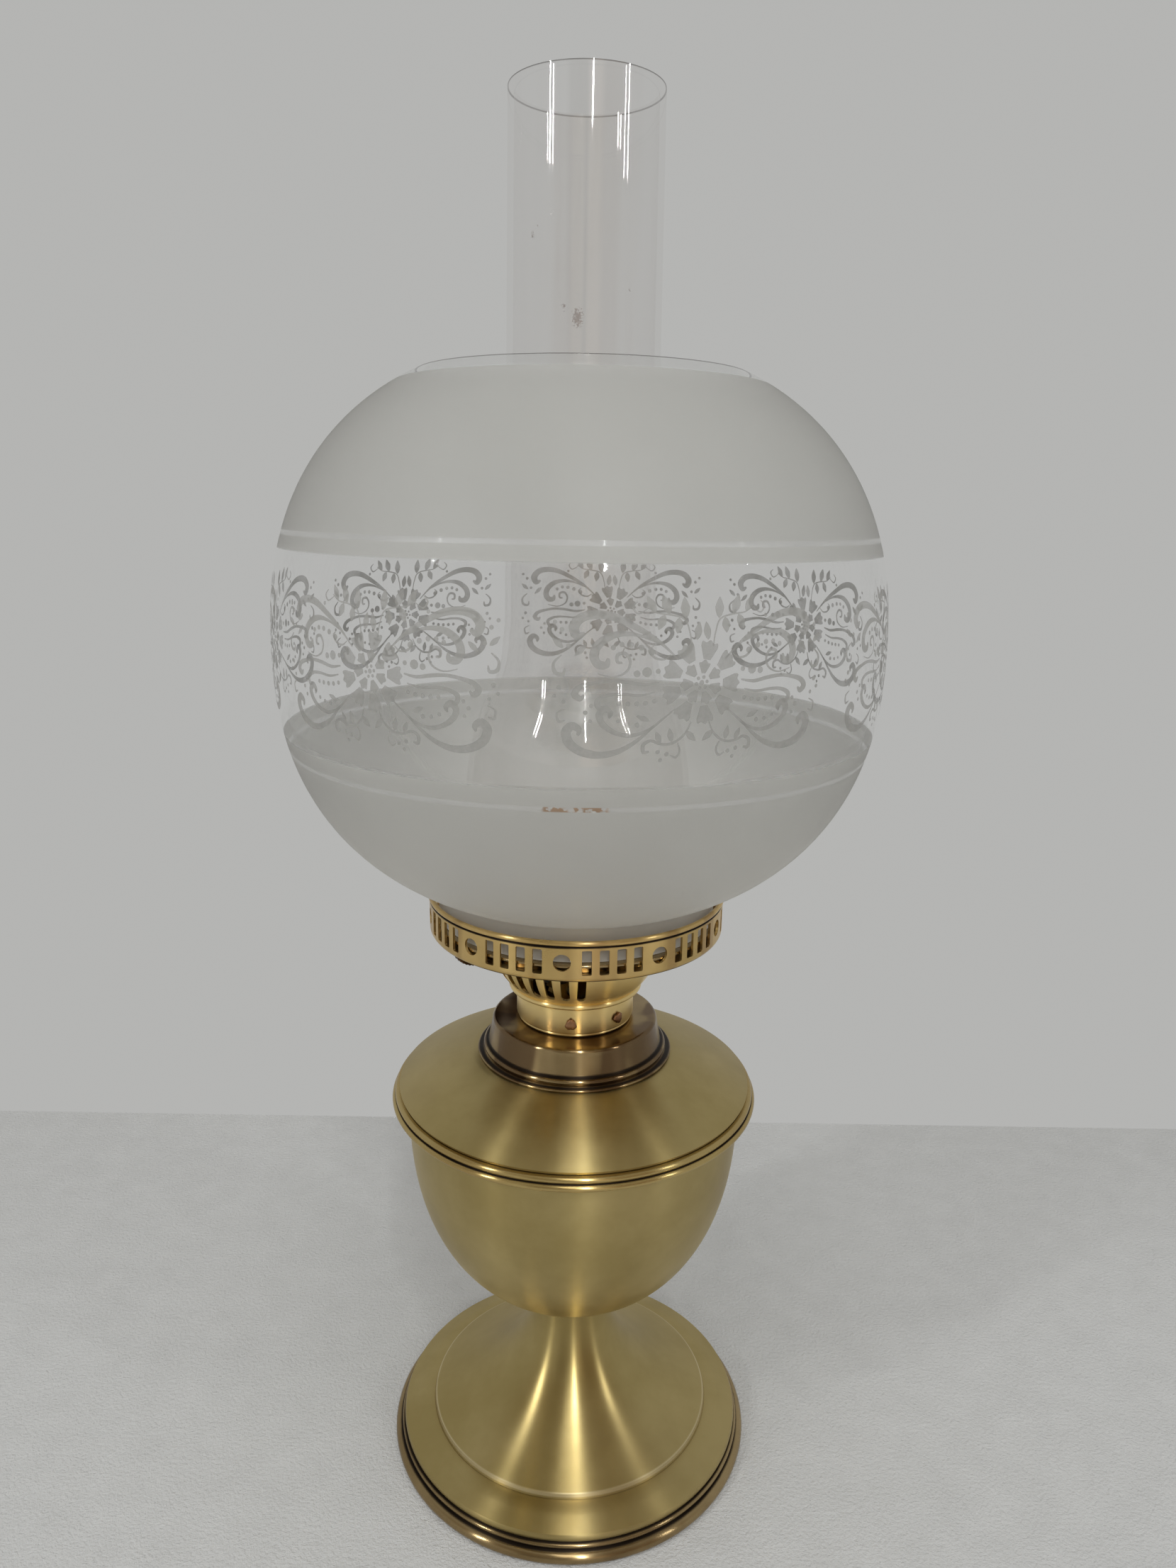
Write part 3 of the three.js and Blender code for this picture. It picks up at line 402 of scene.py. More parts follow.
# Foot flange
# The domed outer part of the foot, one thin spun sheet whose edge is turned under to meet
# the rolled rim.
flange_radius = 66.6 * mm
flange_wall = 1.1 * mm
flange_edge = 2.8 * mm
flange_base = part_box("foot_flange")[0][2]
seam_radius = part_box("foot_trumpet")[1][0]
seam_height = 14.1 * mm
trumpet_wall = 1.1 * mm
flange_lap = 4.0 * mm
foot_flange = turned("foot_flange_turned", sheet_outline([
    (flange_radius - flange_edge, flange_base),
    *bezier([
        (flange_radius - flange_wall / 2, flange_base),
        (flange_radius + flange_wall / 4, flange_base + flange_edge / 2),
        (flange_radius - flange_wall / 2, flange_base + flange_edge),
    ], 8),
    *bezier([
        ((flange_radius + seam_radius) / 2, seam_height - trumpet_wall - seat_gap - flange_wall),
        ((flange_radius + 3 * seam_radius) / 4, seam_height - trumpet_wall - seat_gap),
        (seam_radius - flange_lap, seam_height - trumpet_wall),
    ], 12),
], flange_wall), 192)
dress(foot_flange, satin_brass)
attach(foot_flange, "base")
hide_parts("foot_flange")


# Foot trumpet
# The stem that flares into the foot, spun from one disc. Its lower edge is a small step round
# the foot, and the bright line along it is a painted highlight.
stem_radius = 14.4 * mm
stem_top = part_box("foot_trumpet")[1][2]
trumpet_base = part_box("foot_trumpet")[0][2]
foot_trumpet = turned("foot_trumpet_turned", sheet_outline([
    (seam_radius, trumpet_base),
    *bezier([
        (seam_radius - trumpet_wall / 2, seam_height + trumpet_wall / 2),
        (seam_radius / 2, seam_height + trumpet_wall + seam_radius / 5),
        (stem_radius * 1.08, (seam_height + 2 * stem_top) / 3.6),
        (stem_radius, stem_top),
    ], 40),
], trumpet_wall), 160)
# Painted highlight: a pale line painted along the seam, where its rounded edge would catch the light.
seam_painted_glint = [(seam_radius - 0.3 * mm, seam_height + 0.3 * mm, 1.1 * mm)]
dress(foot_trumpet, spun_brass("trumpet_brass", *satin_look, painted_glint_edges=seam_painted_glint))
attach(foot_trumpet, "base")
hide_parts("foot_trumpet")


# Stem ring
# A small bright washer-like ring between the stem and the bowl, dished to the bowl's bottom.
ring_base, ring_top = heights("stem_ring")
ring_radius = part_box("stem_ring")[1][0]
rod_hole = 3.3 * mm
stem_ring = turned("stem_ring_turned", [
    (rod_hole, ring_base),
    (stem_radius, ring_base),
    *arc(ring_radius - 0.55 * mm, ring_base + 0.75 * mm, 0.55 * mm, -70, 90, 8),
    (stem_radius - 0.6 * mm, ring_top - 0.35 * mm),
    (rod_hole, ring_base + 1.0 * mm),
], 96)
dress(stem_ring, bright_brass)
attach(stem_ring, "base")
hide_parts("stem_ring")


# Inside the foot
# A cast-iron weight on green felt under the foot, and the rod, nuts and washer that pull the
# foot and the fount together. They keep their CAD solids and get real finishes.
def plain_metal(name, light, dark, rough, grain, metallic=1.0, depth=0.03):
    finish = Finish(name)
    place = finish.place()
    fine = finish.noise(place, grain, 5.0, 0.6)
    cloud = finish.noise(place, grain / 14, 3.0)
    colour = finish.blend(cloud.step(0.3, 0.7), dark, light)
    roughness = rough + 0.2 * (fine - 0.5)
    return finish.done(finish.surface(
        Base_Color=colour, Metallic=metallic, Roughness=roughness, Normal=finish.bump(fine, depth * mm)
    ))


def felt_finish():
    finish = Finish("green_felt")
    place = finish.place()
    fibres = finish.noise(place, 1800.0, 6.0, 0.75)
    tufts = finish.noise(place, 240.0, 4.0, 0.6)
    colour = finish.blend(fibres, (0.018, 0.055, 0.030), (0.060, 0.140, 0.080))
    bump = finish.bump(fibres + tufts * 1.4, 0.5 * mm)
    return finish.done(finish.surface(Base_Color=colour, Roughness=0.95, Normal=bump, Sheen_Weight=0.5))


cast_iron = plain_metal("cast_iron", (0.10, 0.10, 0.10), (0.05, 0.05, 0.05), 0.75, 900, 0.6, 0.15)
dull_steel = plain_metal("dull_steel", (0.52, 0.52, 0.50), (0.36, 0.36, 0.35), 0.42, 1400)
cad_nodes = {node: bpy.data.objects[node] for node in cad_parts}
dress(cad_nodes["base_felt"], felt_finish())
dress(cad_nodes["foot_weight"], cast_iron)
for node in ("tie_rod", "weight_nut", "fount_nut"):
    dress(cad_nodes[node], dull_steel)
dress(cad_nodes["fount_washer"], brown_brass)


# Fount bowl
# The kerosene tank's lower half: a deep bowl spun from one sheet, slightly squarer than a
# half ball, with an upright neck under its rim.
bowl_radius = 61.7 * mm
bowl_depth = 80.5 * mm
bowl_power = 2.33
bowl_top = 144.3 * mm
bowl_wall = 1.0 * mm
bowl_neck_top = 146.9 * mm
bowl_curve = [(rod_hole, bowl_top - bowl_depth)]
bowl_steps = 44
for i in range(1, bowl_steps + 1):
    slant = ((bowl_steps - i) / bowl_steps) ** 1.15 * math.pi / 2
    bowl_curve.append((
        bowl_radius * math.cos(slant) ** (2 / bowl_power),
        bowl_top - bowl_depth * math.sin(slant) ** (2 / bowl_power),
    ))
bowl_curve.append((bowl_radius, bowl_neck_top))
fount_bowl = turned("fount_bowl_turned", sheet_outline(bowl_curve, bowl_wall), 192)
dress(fount_bowl, satin_brass)
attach(fount_bowl, "base")
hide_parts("fount_bowl")


# Fount rim
# The two rolled beads that lock the bowl to the shoulder: one round the outside and a
# smaller one just above it, with a dark line between them.
rim_base, rim_top = heights("fount_rim")
rim_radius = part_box("fount_rim")[1][0]
rim_inner = 59.6 * mm
rim_bead = (rim_top - rim_base) / 4
fount_rim = turned("fount_rim_turned", [
    (rim_inner, rim_base),
    *arc(rim_radius - rim_bead, rim_base + rim_bead, rim_bead, -90, 70, 12),
    (rim_radius - 1.75 * rim_bead, rim_base + 2.02 * rim_bead),
    *arc(rim_radius - 1.9 * rim_bead, rim_base + 3 * rim_bead, rim_bead, -60, 90, 12),
    (rim_inner, rim_top),
], 192)
rim_grooves = [(rim_radius - 1.2 * rim_bead, rim_base + 2.02 * rim_bead, 0.7 * mm)]
dress(fount_rim, spun_brass("fount_rim_brass", *bright_look, rim_grooves))
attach(fount_rim, "base")
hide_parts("fount_rim")


# Fount shoulder
# The sloping top of the tank, a slightly domed cone that runs in under the collar.
shoulder_base, shoulder_top = heights("fount_shoulder")
shoulder_edge = 65.0 * mm
shoulder_neck = 37.2 * mm
shoulder_lap = 12.0 * mm
shoulder_wall = 1.0 * mm
shoulder_crown = 1.5 * mm
shoulder_rise = shoulder_top - shoulder_base
fount_shoulder = turned("fount_shoulder_turned", sheet_outline([
    (shoulder_edge - shoulder_wall / 2, shoulder_base),
    *bezier([
        (shoulder_edge, shoulder_base + shoulder_wall),
        (
            (shoulder_edge + shoulder_neck) / 2,
            shoulder_base + shoulder_wall + shoulder_rise / 2 + shoulder_crown,
        ),
        (shoulder_neck, shoulder_top),
    ], 20),
    (shoulder_neck - shoulder_lap, shoulder_top),
], shoulder_wall), 192)
dress(fount_shoulder, satin_brass)
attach(fount_shoulder, "base")
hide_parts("fount_shoulder")


# Fount collar
# The stepped screw collar that the burner sits in: a flange on the shoulder, a bead, a
# tapered wall and a rounded top edge. It has browned more than the rest.
collar_base, collar_top = heights("fount_collar")
collar_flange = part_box("fount_collar")[1][1]
collar_flange_height = 1.4 * mm
collar_bead_radius = 33.8 * mm
collar_bead_top = collar_base + 4.0 * mm
collar_waist = 32.0 * mm
collar_edge = 30.4 * mm
collar_round = 1.4 * mm
collar_wall = 1.1 * mm
bore_radius = 18.8 * mm
bore_wall = 1.5 * mm
bore_depth = 11.0 * mm
fount_collar = turned("fount_collar_turned", [
    (collar_flange - collar_wall, collar_base),
    *arc(collar_flange - 0.5 * mm, collar_base + 0.55 * mm, 0.5 * mm, -60, 90, 7),
    (collar_bead_radius + 0.5 * mm, collar_base + collar_flange_height - 0.25 * mm),
    *arc(collar_bead_radius - 1.0 * mm, collar_base + 2.55 * mm, 1.0 * mm, -70, 80, 9),
    (collar_waist + 0.1 * mm, collar_bead_top - 0.35 * mm),
    *bezier([
        (collar_waist, collar_bead_top),
        ((collar_waist + collar_edge) / 2, (collar_bead_top + collar_top) / 2 - mm),
        (collar_edge, collar_top - collar_round),
    ], 8),
    *arc(collar_edge - collar_round, collar_top - collar_round, collar_round, 10, 90, 10),
    *arc(bore_radius + 0.5 * mm, collar_top - 0.5 * mm, 0.5 * mm, 90, 180, 5),
    (bore_radius, collar_top - bore_depth),
    (bore_radius + bore_wall, collar_top - bore_depth),
    (bore_radius + bore_wall, collar_top - collar_wall),
    (collar_edge - 1.5 * collar_wall, collar_top - collar_wall),
    (collar_waist - collar_wall, collar_bead_top),
    (collar_bead_radius - collar_wall, collar_bead_top - 1.3 * mm),
    (collar_bead_radius - collar_wall, collar_base),
], 160)
collar_grooves = [
    (collar_bead_radius + 0.9 * mm, collar_base + collar_flange_height, 1.2 * mm),
    (collar_waist + 0.4 * mm, collar_bead_top, 1.1 * mm),
]
# The collar's dark upright bands are a painted reflection.
dress(fount_collar, spun_brass("collar_brass", *brown_look, collar_grooves, 0.75))
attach(fount_collar, "base")
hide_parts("fount_collar")


# Burner base
# The burner's screwed foot: a threaded sleeve in the collar, a floor that holds the two wick
# tubes, and a plain wall. The thread is cut into the sleeve as real ridges.
winder_angle = math.radians(218)
winder_run = Vector((math.sin(winder_angle), -math.cos(winder_angle), 0))
winder_cross = Vector((winder_run.y, -winder_run.x, 0))
burner_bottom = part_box("burner_base")[0][2]
base_floor = collar_top + seat_gap
base_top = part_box("burner_base")[1][2]
base_wall = 0.9 * mm
base_lip = 20.4 * mm
base_radius = 21.5 * mm
thread_radius = 18.4 * mm
thread_wall = 1.0 * mm
thread_depth = 0.35 * mm
thread_pitch = 1.5 * mm
wick_places = (-7.0 * mm, 7.0 * mm)
tube_depth = 4.4 * mm
tube_width = 27.6 * mm
tube_hole_height = 6.0 * mm


def turn_to_winder(piece, along, across, height):
    """Turns a mesh whose x runs across and y along, and moves it to its place in the burner."""
    turn = Matrix((
        (winder_cross.x, winder_run.x, 0, 0),
        (winder_cross.y, winder_run.y, 0, 0),
        (0, 0, 1, 0),
        (0, 0, 0, 1),
    ))
    piece.data.transform(turn @ Matrix.Translation((across, along, height)))


def block(name, across, along, height, place=(0, 0, 0)):
    bpy.ops.object.select_all(action="DESELECT")
    bpy.ops.mesh.primitive_cube_add(size=1)
    piece = bpy.context.object
    piece.name = name
    piece.data.transform(Matrix.Translation(place) @ Matrix.Diagonal((across, along, height, 1)))
    return piece


def select_only(pieces):
    bpy.ops.object.select_all(action="DESELECT")
    for piece in pieces:
        piece.select_set(True)
    bpy.context.view_layer.objects.active = pieces[0]


def joined(name, pieces):
    select_only(pieces)
    bpy.ops.object.join()
    pieces[0].name = name
    return pieces[0]


def with_copies(piece, count):
    """The piece and its copies, each with its own mesh, so many in all."""
    pieces = [piece]
    while len(pieces) < count:
        select_only([piece])
        bpy.ops.object.duplicate()
        pieces.append(bpy.context.object)
    return pieces


def cut_by(piece, cutter):
    """Cuts a piece by another mesh, which is used up."""
    select_only([piece])
    cut = piece.modifiers.new("cut", "BOOLEAN")
    cut.operation = "DIFFERENCE"
    cut.solver = "EXACT"
    cut.object = cutter
    bpy.ops.object.modifier_apply(modifier="cut")
    bpy.data.objects.remove(cutter, do_unlink=True)
    bpy.ops.object.shade_smooth_by_angle(angle=math.radians(spun_edge_angle))


thread = []
thread_turns = int((base_floor - burner_bottom) / thread_pitch)
for i in range(thread_turns):
    low = burner_bottom + i * thread_pitch + 0.3 * mm
    thread += [(thread_radius - thread_depth, low), (thread_radius, low + thread_pitch / 2)]
burner_base = turned("burner_base_turned", [
    (0, base_floor),
    (thread_radius - thread_wall, base_floor),
    (thread_radius - thread_wall, burner_bottom),
    (thread_radius - thread_depth, burner_bottom),
    *thread,
    (thread_radius - thread_depth, base_floor - 0.3 * mm),
    (thread_radius - thread_depth, base_floor),
    *arc(base_lip, base_floor + 0.55 * mm, 0.55 * mm, -90, 60, 7),
    (base_radius - 0.35 * mm, base_floor + 1.15 * mm),
    (base_radius, base_floor + 1.9 * mm),
    *arc(base_radius - 0.4 * mm, base_top - 0.4 * mm, 0.4 * mm, 0, 90, 4),
    (base_radius - base_wall, base_top),
    (base_radius - base_wall, base_floor + 2 * base_wall),
    (base_lip - base_wall, base_floor + base_wall),
    (0, base_floor + base_wall),
], 128)
tube_hole = block(
    "tube_hole", tube_depth + 2 * seat_gap, tube_width + 2 * seat_gap, tube_hole_height
)
tube_holes = with_copies(tube_hole, 2)
for hole, across in zip(tube_holes, wick_places):
    turn_to_winder(hole, 0, across, base_floor)
cut_by(burner_base, joined("tube_holes", tube_holes))
# Painted light: this brass is brightened to make up for the shade under the gallery.
painted_lit_brass = spun_brass("painted_lit_brass", *painted_lit_look)
dress(burner_base, painted_lit_brass)
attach(burner_base, "burner")
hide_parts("burner_base")


# Base rivets
# Four domed copper rivets through the burner base's wall, two near the front and two at the
# back. Each was set by hand, so every head has its own ragged outline.
copper = plain_metal("dull_copper", (0.42, 0.23, 0.12), (0.22, 0.11, 0.055), 0.38, 1500, 1.0, 0.05)
rivet_radius = 2.3 * mm
rivet_crown = 1.05 * mm
rivet_shank = 0.9 * mm
rivet_depth = 1.3 * mm
rivet_height = base_floor + 5.2 * mm
rivet_pair_turns = (21, 201)
rivet_half_gap = 24
rivet_turns = [pair + side * rivet_half_gap for pair in rivet_pair_turns for side in (-1, 1)]
rivet_head = turned("base_rivet_head_1", [
    (0, -rivet_depth),
    (rivet_shank, -rivet_depth),
    (rivet_shank, seat_gap),
    (rivet_radius - 0.12 * mm, seat_gap),
    *bezier([
        (rivet_radius, seat_gap + 0.2 * mm),
        (rivet_radius * 0.98, seat_gap + rivet_crown * 0.95),
        (0, seat_gap + rivet_crown),
    ], 9),
], 32)
for i, rivet in enumerate(with_copies(rivet_head, len(rivet_turns))):
    rivet.name = f"base_rivet_head_{i + 1}"
    for vertex in rivet.data.vertices:
        turn = math.atan2(vertex.co.y, vertex.co.x)
        scale = 1 - 0.09 * (1 + math.sin(3 * turn + 2 * i)) - 0.05 * (1 + math.sin(7 * turn + i))
        if vertex.co.z > seat_gap / 2:
            vertex.co.x *= scale
            vertex.co.y *= scale
    rivet_turn = math.radians(rivet_turns[i])
    out = Vector((math.sin(rivet_turn), -math.cos(rivet_turn), 0))
    lean = out.to_track_quat("Z", "Y").to_matrix().to_4x4()
    rivet.data.transform(Matrix.Translation(out * base_radius + Vector((0, 0, rivet_height))) @ lean)
    dress(rivet, copper)
    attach(rivet, "burner")
    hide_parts(f"base_rivet_{i + 1}")


# Air basket
# The flared bowl that lets air to the wicks: two groups of eleven upright slots with round
# ends, plain sides where the winders pass, a bead at its foot and a flange on top.
basket_base, basket_top = heights("air_basket")
basket_height = basket_top - basket_base
basket_bead = 1.2 * mm
basket_foot = 23.4 * mm
basket_radius = 32.4 * mm
basket_wall = 0.9 * mm
basket_flange = 35.4 * mm
slot_pitch = 11.25
slots_in_group = 11
slot_width = 3.0 * mm
slot_length = 14.5 * mm
slot_group_starts = (-107.5, 70.7)
slot_cut_depth = 14.0 * mm
slot_cut_start = -8.0 * mm
slot_cut_inset = 3.2 * mm
shaft_hole_length = 20.0 * mm
shaft_hole_reach = 27.0 * mm
shaft_radius = 1.5 * mm
winder_places = (-12.5 * mm, 12.5 * mm)
winder_height = 195.0 * mm
basket_curve = [
    (basket_foot, basket_base),
    *arc(basket_foot - 0.2 * mm, basket_base + basket_bead, basket_bead, -80, 70, 10),
    *bezier([
        (basket_foot + basket_wall / 2, basket_base + 2 * basket_bead),
        (basket_radius - basket_wall, basket_base + basket_height * 0.4),
        (basket_radius, basket_top - basket_wall),
    ], 18),
]
basket_inside = sheet_outline(basket_curve, basket_wall)[len(basket_curve):]
air_basket = turned("air_basket_turned", [
    *basket_curve,
    (basket_flange, basket_top - basket_wall),
    (basket_flange, basket_top),
    (basket_radius - basket_wall, basket_top),
    *basket_inside[1:-8],
    (base_radius - base_wall, basket_base + basket_wall),
    (base_radius - base_wall, basket_base),
], 160)


def stadium(name, width, length, depth, round_steps=8, corner=None):
    """A bar with rounded ends, its length upright, its depth along y from the origin."""
    radius = corner or width / 2
    corners = (
        (width / 2 - radius, length / 2 - radius, 0),
        (radius - width / 2, length / 2 - radius, 90),
        (radius - width / 2, radius - length / 2, 180),
        (width / 2 - radius, radius - length / 2, 270),
    )
    outline = []
    for x, z, start in corners:
        outline += arc(x, z, radius, start, start + 90, round_steps)
    piece = drawn(name, [(x, 0, z) for x, z in outline], "NGON")
    bpy.ops.object.mode_set(mode="EDIT")
    bpy.ops.mesh.select_all(action="SELECT")
    bpy.ops.mesh.extrude_region_move(TRANSFORM_OT_translate={"value": (0, depth, 0)})
    bpy.ops.mesh.select_all(action="SELECT")
    bpy.ops.mesh.normals_make_consistent(inside=False)
    bpy.ops.object.mode_set(mode="OBJECT")
    return piece


def round_the_lamp(piece, degrees, radius, height, tilt=0.0):
    """Faces a mesh outwards at an angle round the lamp, leaning out at its top."""
    piece.data.transform(
        Matrix.Rotation(math.radians(180 + degrees), 4, "Z")
        @ Matrix.Translation((0, radius, height))
        @ Matrix.Rotation(-tilt, 4, "X")
    )


slot_lean = math.atan2(basket_radius - basket_foot, basket_height - 2 * basket_bead)
slot_middle = basket_base + 2 * basket_bead + slot_width * 0.7 + slot_length * math.cos(slot_lean) / 2
slot_turns = [start + i * slot_pitch for start in slot_group_starts for i in range(slots_in_group)]
slot_cutter = stadium("basket_slot", slot_width, slot_length, slot_cut_depth)
slot_cutter.data.transform(Matrix.Translation((0, slot_cut_start, 0)))
slots = with_copies(slot_cutter, len(slot_turns))
for slot, turn in zip(slots, slot_turns):
    round_the_lamp(slot, turn, basket_radius - slot_cut_inset, slot_middle, slot_lean)
cut_by(air_basket, joined("basket_slots", slots))
bpy.ops.object.select_all(action="DESELECT")
bpy.ops.mesh.primitive_cylinder_add(
    vertices=32, radius=shaft_radius + seat_gap, depth=shaft_hole_length
)
shaft_hole = bpy.context.object
shaft_hole.data.transform(Matrix.Rotation(math.pi / 2, 4, "X"))
shaft_holes = with_copies(shaft_hole, 2)
for hole, across in zip(shaft_holes, winder_places):
    turn_to_winder(hole, shaft_hole_reach, across, winder_height)
cut_by(air_basket, joined("shaft_holes", shaft_holes))
# Painted light: the basket wears the same brightened burner brass.
dress(air_basket, painted_lit_brass)
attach(air_basket, "burner")
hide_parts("air_basket")


# Gallery band
# The pressed band that holds the shade, pierced with a round hole and four upright slots ten
# times over. Its lip is rolled and its foot is turned in.
gallery_base, gallery_top = heights("gallery_band")
gallery_radius = 52.7 * mm
gallery_wall = 0.9 * mm
gallery_lip = 0.9 * mm
gallery_foot_round = 2.0 * mm
gallery_inner_lip = 43.5 * mm
gallery_repeat = 10
gallery_hole_radius = 2.9 * mm
gallery_hole_angle = -4.2
gallery_hole_height = gallery_base + 7.0 * mm
gallery_slot_angle = 13.8
gallery_slot_pitch = 6.2
gallery_slot_width = 3.2 * mm
gallery_slot_height = 8.4 * mm
gallery_slot_corner = 0.45 * mm
gallery_cut_depth = 6.0 * mm
gallery_band = turned("gallery_band_turned", [
    (gallery_inner_lip, gallery_base),
    *arc(
        gallery_radius - gallery_foot_round, gallery_base + gallery_foot_round,
        gallery_foot_round, -90, 0, 8,
    ),
    (gallery_radius, gallery_top - 2.4 * gallery_lip),
    (gallery_radius - 0.25 * mm, gallery_top - 2.1 * gallery_lip),
    *arc(gallery_radius - gallery_lip / 2, gallery_top - gallery_lip, gallery_lip, -60, 150, 12),
    (gallery_radius - gallery_wall, gallery_top - 2 * gallery_lip),
    (gallery_radius - gallery_wall, gallery_base + gallery_foot_round),
    *arc(
        gallery_radius - gallery_foot_round, gallery_base + gallery_foot_round,
        gallery_foot_round - gallery_wall, -20, -90, 4,
    ),
    (gallery_inner_lip, gallery_base + gallery_wall),
], 240)
round_punch = stadium(
    "gallery_hole", 2 * gallery_hole_radius, 2 * gallery_hole_radius, gallery_cut_depth, 6
)
slot_punch = stadium(
    "gallery_slot", gallery_slot_width, gallery_slot_height, gallery_cut_depth, 3, gallery_slot_corner
)
holes = with_copies(round_punch, gallery_repeat)
slots = with_copies(slot_punch, 4 * gallery_repeat)
piercings = []
for i, hole in enumerate(holes):
    turn = i * 360 / gallery_repeat
    group = [(hole, gallery_hole_angle)]
    for k, slot in enumerate(slots[4 * i:4 * i + 4]):
        group.append((slot, gallery_slot_angle + (k - 1.5) * gallery_slot_pitch))
    for punch, angle in group:
        round_the_lamp(punch, angle + turn, gallery_radius - gallery_cut_depth / 2, gallery_hole_height)
        piercings.append(punch)
cut_by(gallery_band, joined("gallery_cutters", piercings))
gallery_grooves = [
    (gallery_radius, gallery_top - 2.2 * gallery_lip, 0.7 * mm),
    (gallery_radius - 1.2 * mm, gallery_base + 0.5 * mm, 1.1 * mm),
]
# The band's dark upright bands are a painted reflection.
dress(gallery_band, spun_brass("rosy_brass", *rosy_look, gallery_grooves, 0.5))
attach(gallery_band, "burner")
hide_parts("gallery_band")


# Gallery floor
# The vented plate inside the gallery. The chimney stands on it and its raised ledge carries
# the shade.
floor_base, ledge_top = heights("gallery_floor")
floor_wall = 0.8 * mm
floor_hole = 24.5 * mm
ledge_inner = 45.6 * mm
ledge_outer = gallery_radius - gallery_wall - seat_gap
floor_top = floor_base + floor_wall
vent_radius = 2.4 * mm
vent_circle = 40.0 * mm
vent_count = 18
vent_cut_depth = 4.0 * mm
gallery_floor = turned("gallery_floor_turned", [
    (floor_hole, floor_base),
    (ledge_inner + floor_wall, floor_base),
    (ledge_inner + floor_wall, ledge_top - floor_wall),
    (ledge_outer, ledge_top - floor_wall),
    *arc(ledge_outer - 0.4 * mm, ledge_top - 0.4 * mm, 0.4 * mm, 0, 90, 4),
    *arc(ledge_inner + 0.4 * mm, ledge_top - 0.4 * mm, 0.4 * mm, 90, 180, 4),
    (ledge_inner, floor_top),
    (floor_hole, floor_top),
], 144)
bpy.ops.object.select_all(action="DESELECT")
bpy.ops.mesh.primitive_cylinder_add(vertices=24, radius=vent_radius, depth=vent_cut_depth)
vents = with_copies(bpy.context.object, vent_count)
for i, vent in enumerate(vents):
    vent_turn = Matrix.Rotation(2 * math.pi * i / vent_count, 4, "Z")
    vent.data.transform(vent_turn @ Matrix.Translation((vent_circle, 0, floor_top)))
cut_by(gallery_floor, joined("vents", vents))
dress(gallery_floor, brown_brass)
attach(gallery_floor, "burner")
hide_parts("gallery_floor")


# Flame spreader
# The dome over the wicks, with a slot for each flame, blued and browned by heat.
spreader_base, spreader_top = heights("flame_spreader")
spreader_flange = 29.4 * mm
spreader_radius = 27.4 * mm
spreader_wall = 0.8 * mm
spreader_height = spreader_top - spreader_base
flame_slot_length = 29.0 * mm
flame_slot_width = 5.6 * mm


def heated_brass():
    finish = Finish("heated_brass")
    place = finish.place()
    x, y, z = finish.parts(place)
    cloud = finish.noise(place, 60.0, 4.0, 0.6)
    heat = (z - spreader_base) / spreader_height + 0.35 * (cloud - 0.5)
    brass = finish.blend(cloud, (0.42, 0.29, 0.13), (0.60, 0.45, 0.20))
    blued = finish.blend(cloud, (0.12, 0.10, 0.13), (0.30, 0.20, 0.14))
    colour = finish.blend(heat.step(0.45, 1.0), brass, blued)
    rough = 0.32 + 0.2 * heat.step(0.5, 1.0)
    bump = finish.bump(finish.noise(place, 1400.0), 0.02 * mm)
    return finish.done(finish.surface(Base_Color=colour, Metallic=1.0, Roughness=rough, Normal=bump))


def dome_line(radius, height, foot):
    """One side of the dome's wall, from its foot up to its crown."""
    return bezier([
        (radius, foot),
        (radius - spreader_wall, spreader_base + height * 0.75),
        (radius / 2, spreader_base + height * 0.95),
        (0, spreader_base + height),
    ], 22)


flame_spreader = turned("flame_spreader_turned", [
    (spreader_flange, spreader_base),
    (spreader_flange, spreader_base + spreader_wall),
    *dome_line(spreader_radius, spreader_height, spreader_base + spreader_wall),
    *dome_line(spreader_radius - spreader_wall, spreader_height - spreader_wall, spreader_base)[::-1],
], 128)
flame_slot = stadium("flame_slot", flame_slot_width, flame_slot_length, spreader_height, 6)
flame_slot.data.transform(Matrix.Rotation(math.pi / 2, 4, "X"))
flame_slots = with_copies(flame_slot, 2)
for slot, across in zip(flame_slots, wick_places):
    turn_to_winder(slot, 0, across, spreader_base + spreader_height * 0.7)
cut_by(flame_spreader, joined("flame_slots", flame_slots))
dress(flame_spreader, heated_brass())
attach(flame_spreader, "burner")
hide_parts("flame_spreader")


# Chimney springs
# Four springy strips that stand round the chimney's foot and lean out at their tips. Each is
# a folded strip with softened edges.
spring_count = 4
spring_angle = 38
spring_width = 6.0 * mm
spring_wall = 0.6 * mm
spring_inner = 32.8 * mm
spring_foot = 4.0 * mm
spring_rise = 20.0 * mm
spring_lean = 3.2 * mm
spring_low = floor_top + seat_gap
spring_path = [
    (spring_inner + spring_foot, spring_low + spring_wall / 2),
    (spring_inner + spring_wall, spring_low + spring_wall / 2),
    (spring_inner + spring_wall / 2, spring_low + spring_wall),
    *bezier([
        (spring_inner + spring_wall / 2, floor_top + spring_rise / 3),
        (spring_inner + spring_wall / 2 + spring_lean * 0.2, floor_top + spring_rise * 0.7),
        (spring_inner + spring_wall / 2 + spring_lean * 0.95, floor_top + spring_rise * 0.985),
    ], 8),
]
spring_points = [(radius, -spring_width / 2, height) for radius, height in spring_path]
spring_strip = drawn("chimney_spring_strip_1", spring_points)
bpy.ops.object.mode_set(mode="EDIT")
bpy.ops.mesh.select_all(action="DESELECT")
bpy.ops.object.mode_set(mode="OBJECT")
closing = [e for e in spring_strip.data.edges if set(e.vertices) == {0, len(spring_path) - 1}][0]
closing.select = True
bpy.ops.object.mode_set(mode="EDIT")
bpy.ops.mesh.delete(type="EDGE_FACE")
bpy.ops.mesh.select_all(action="SELECT")
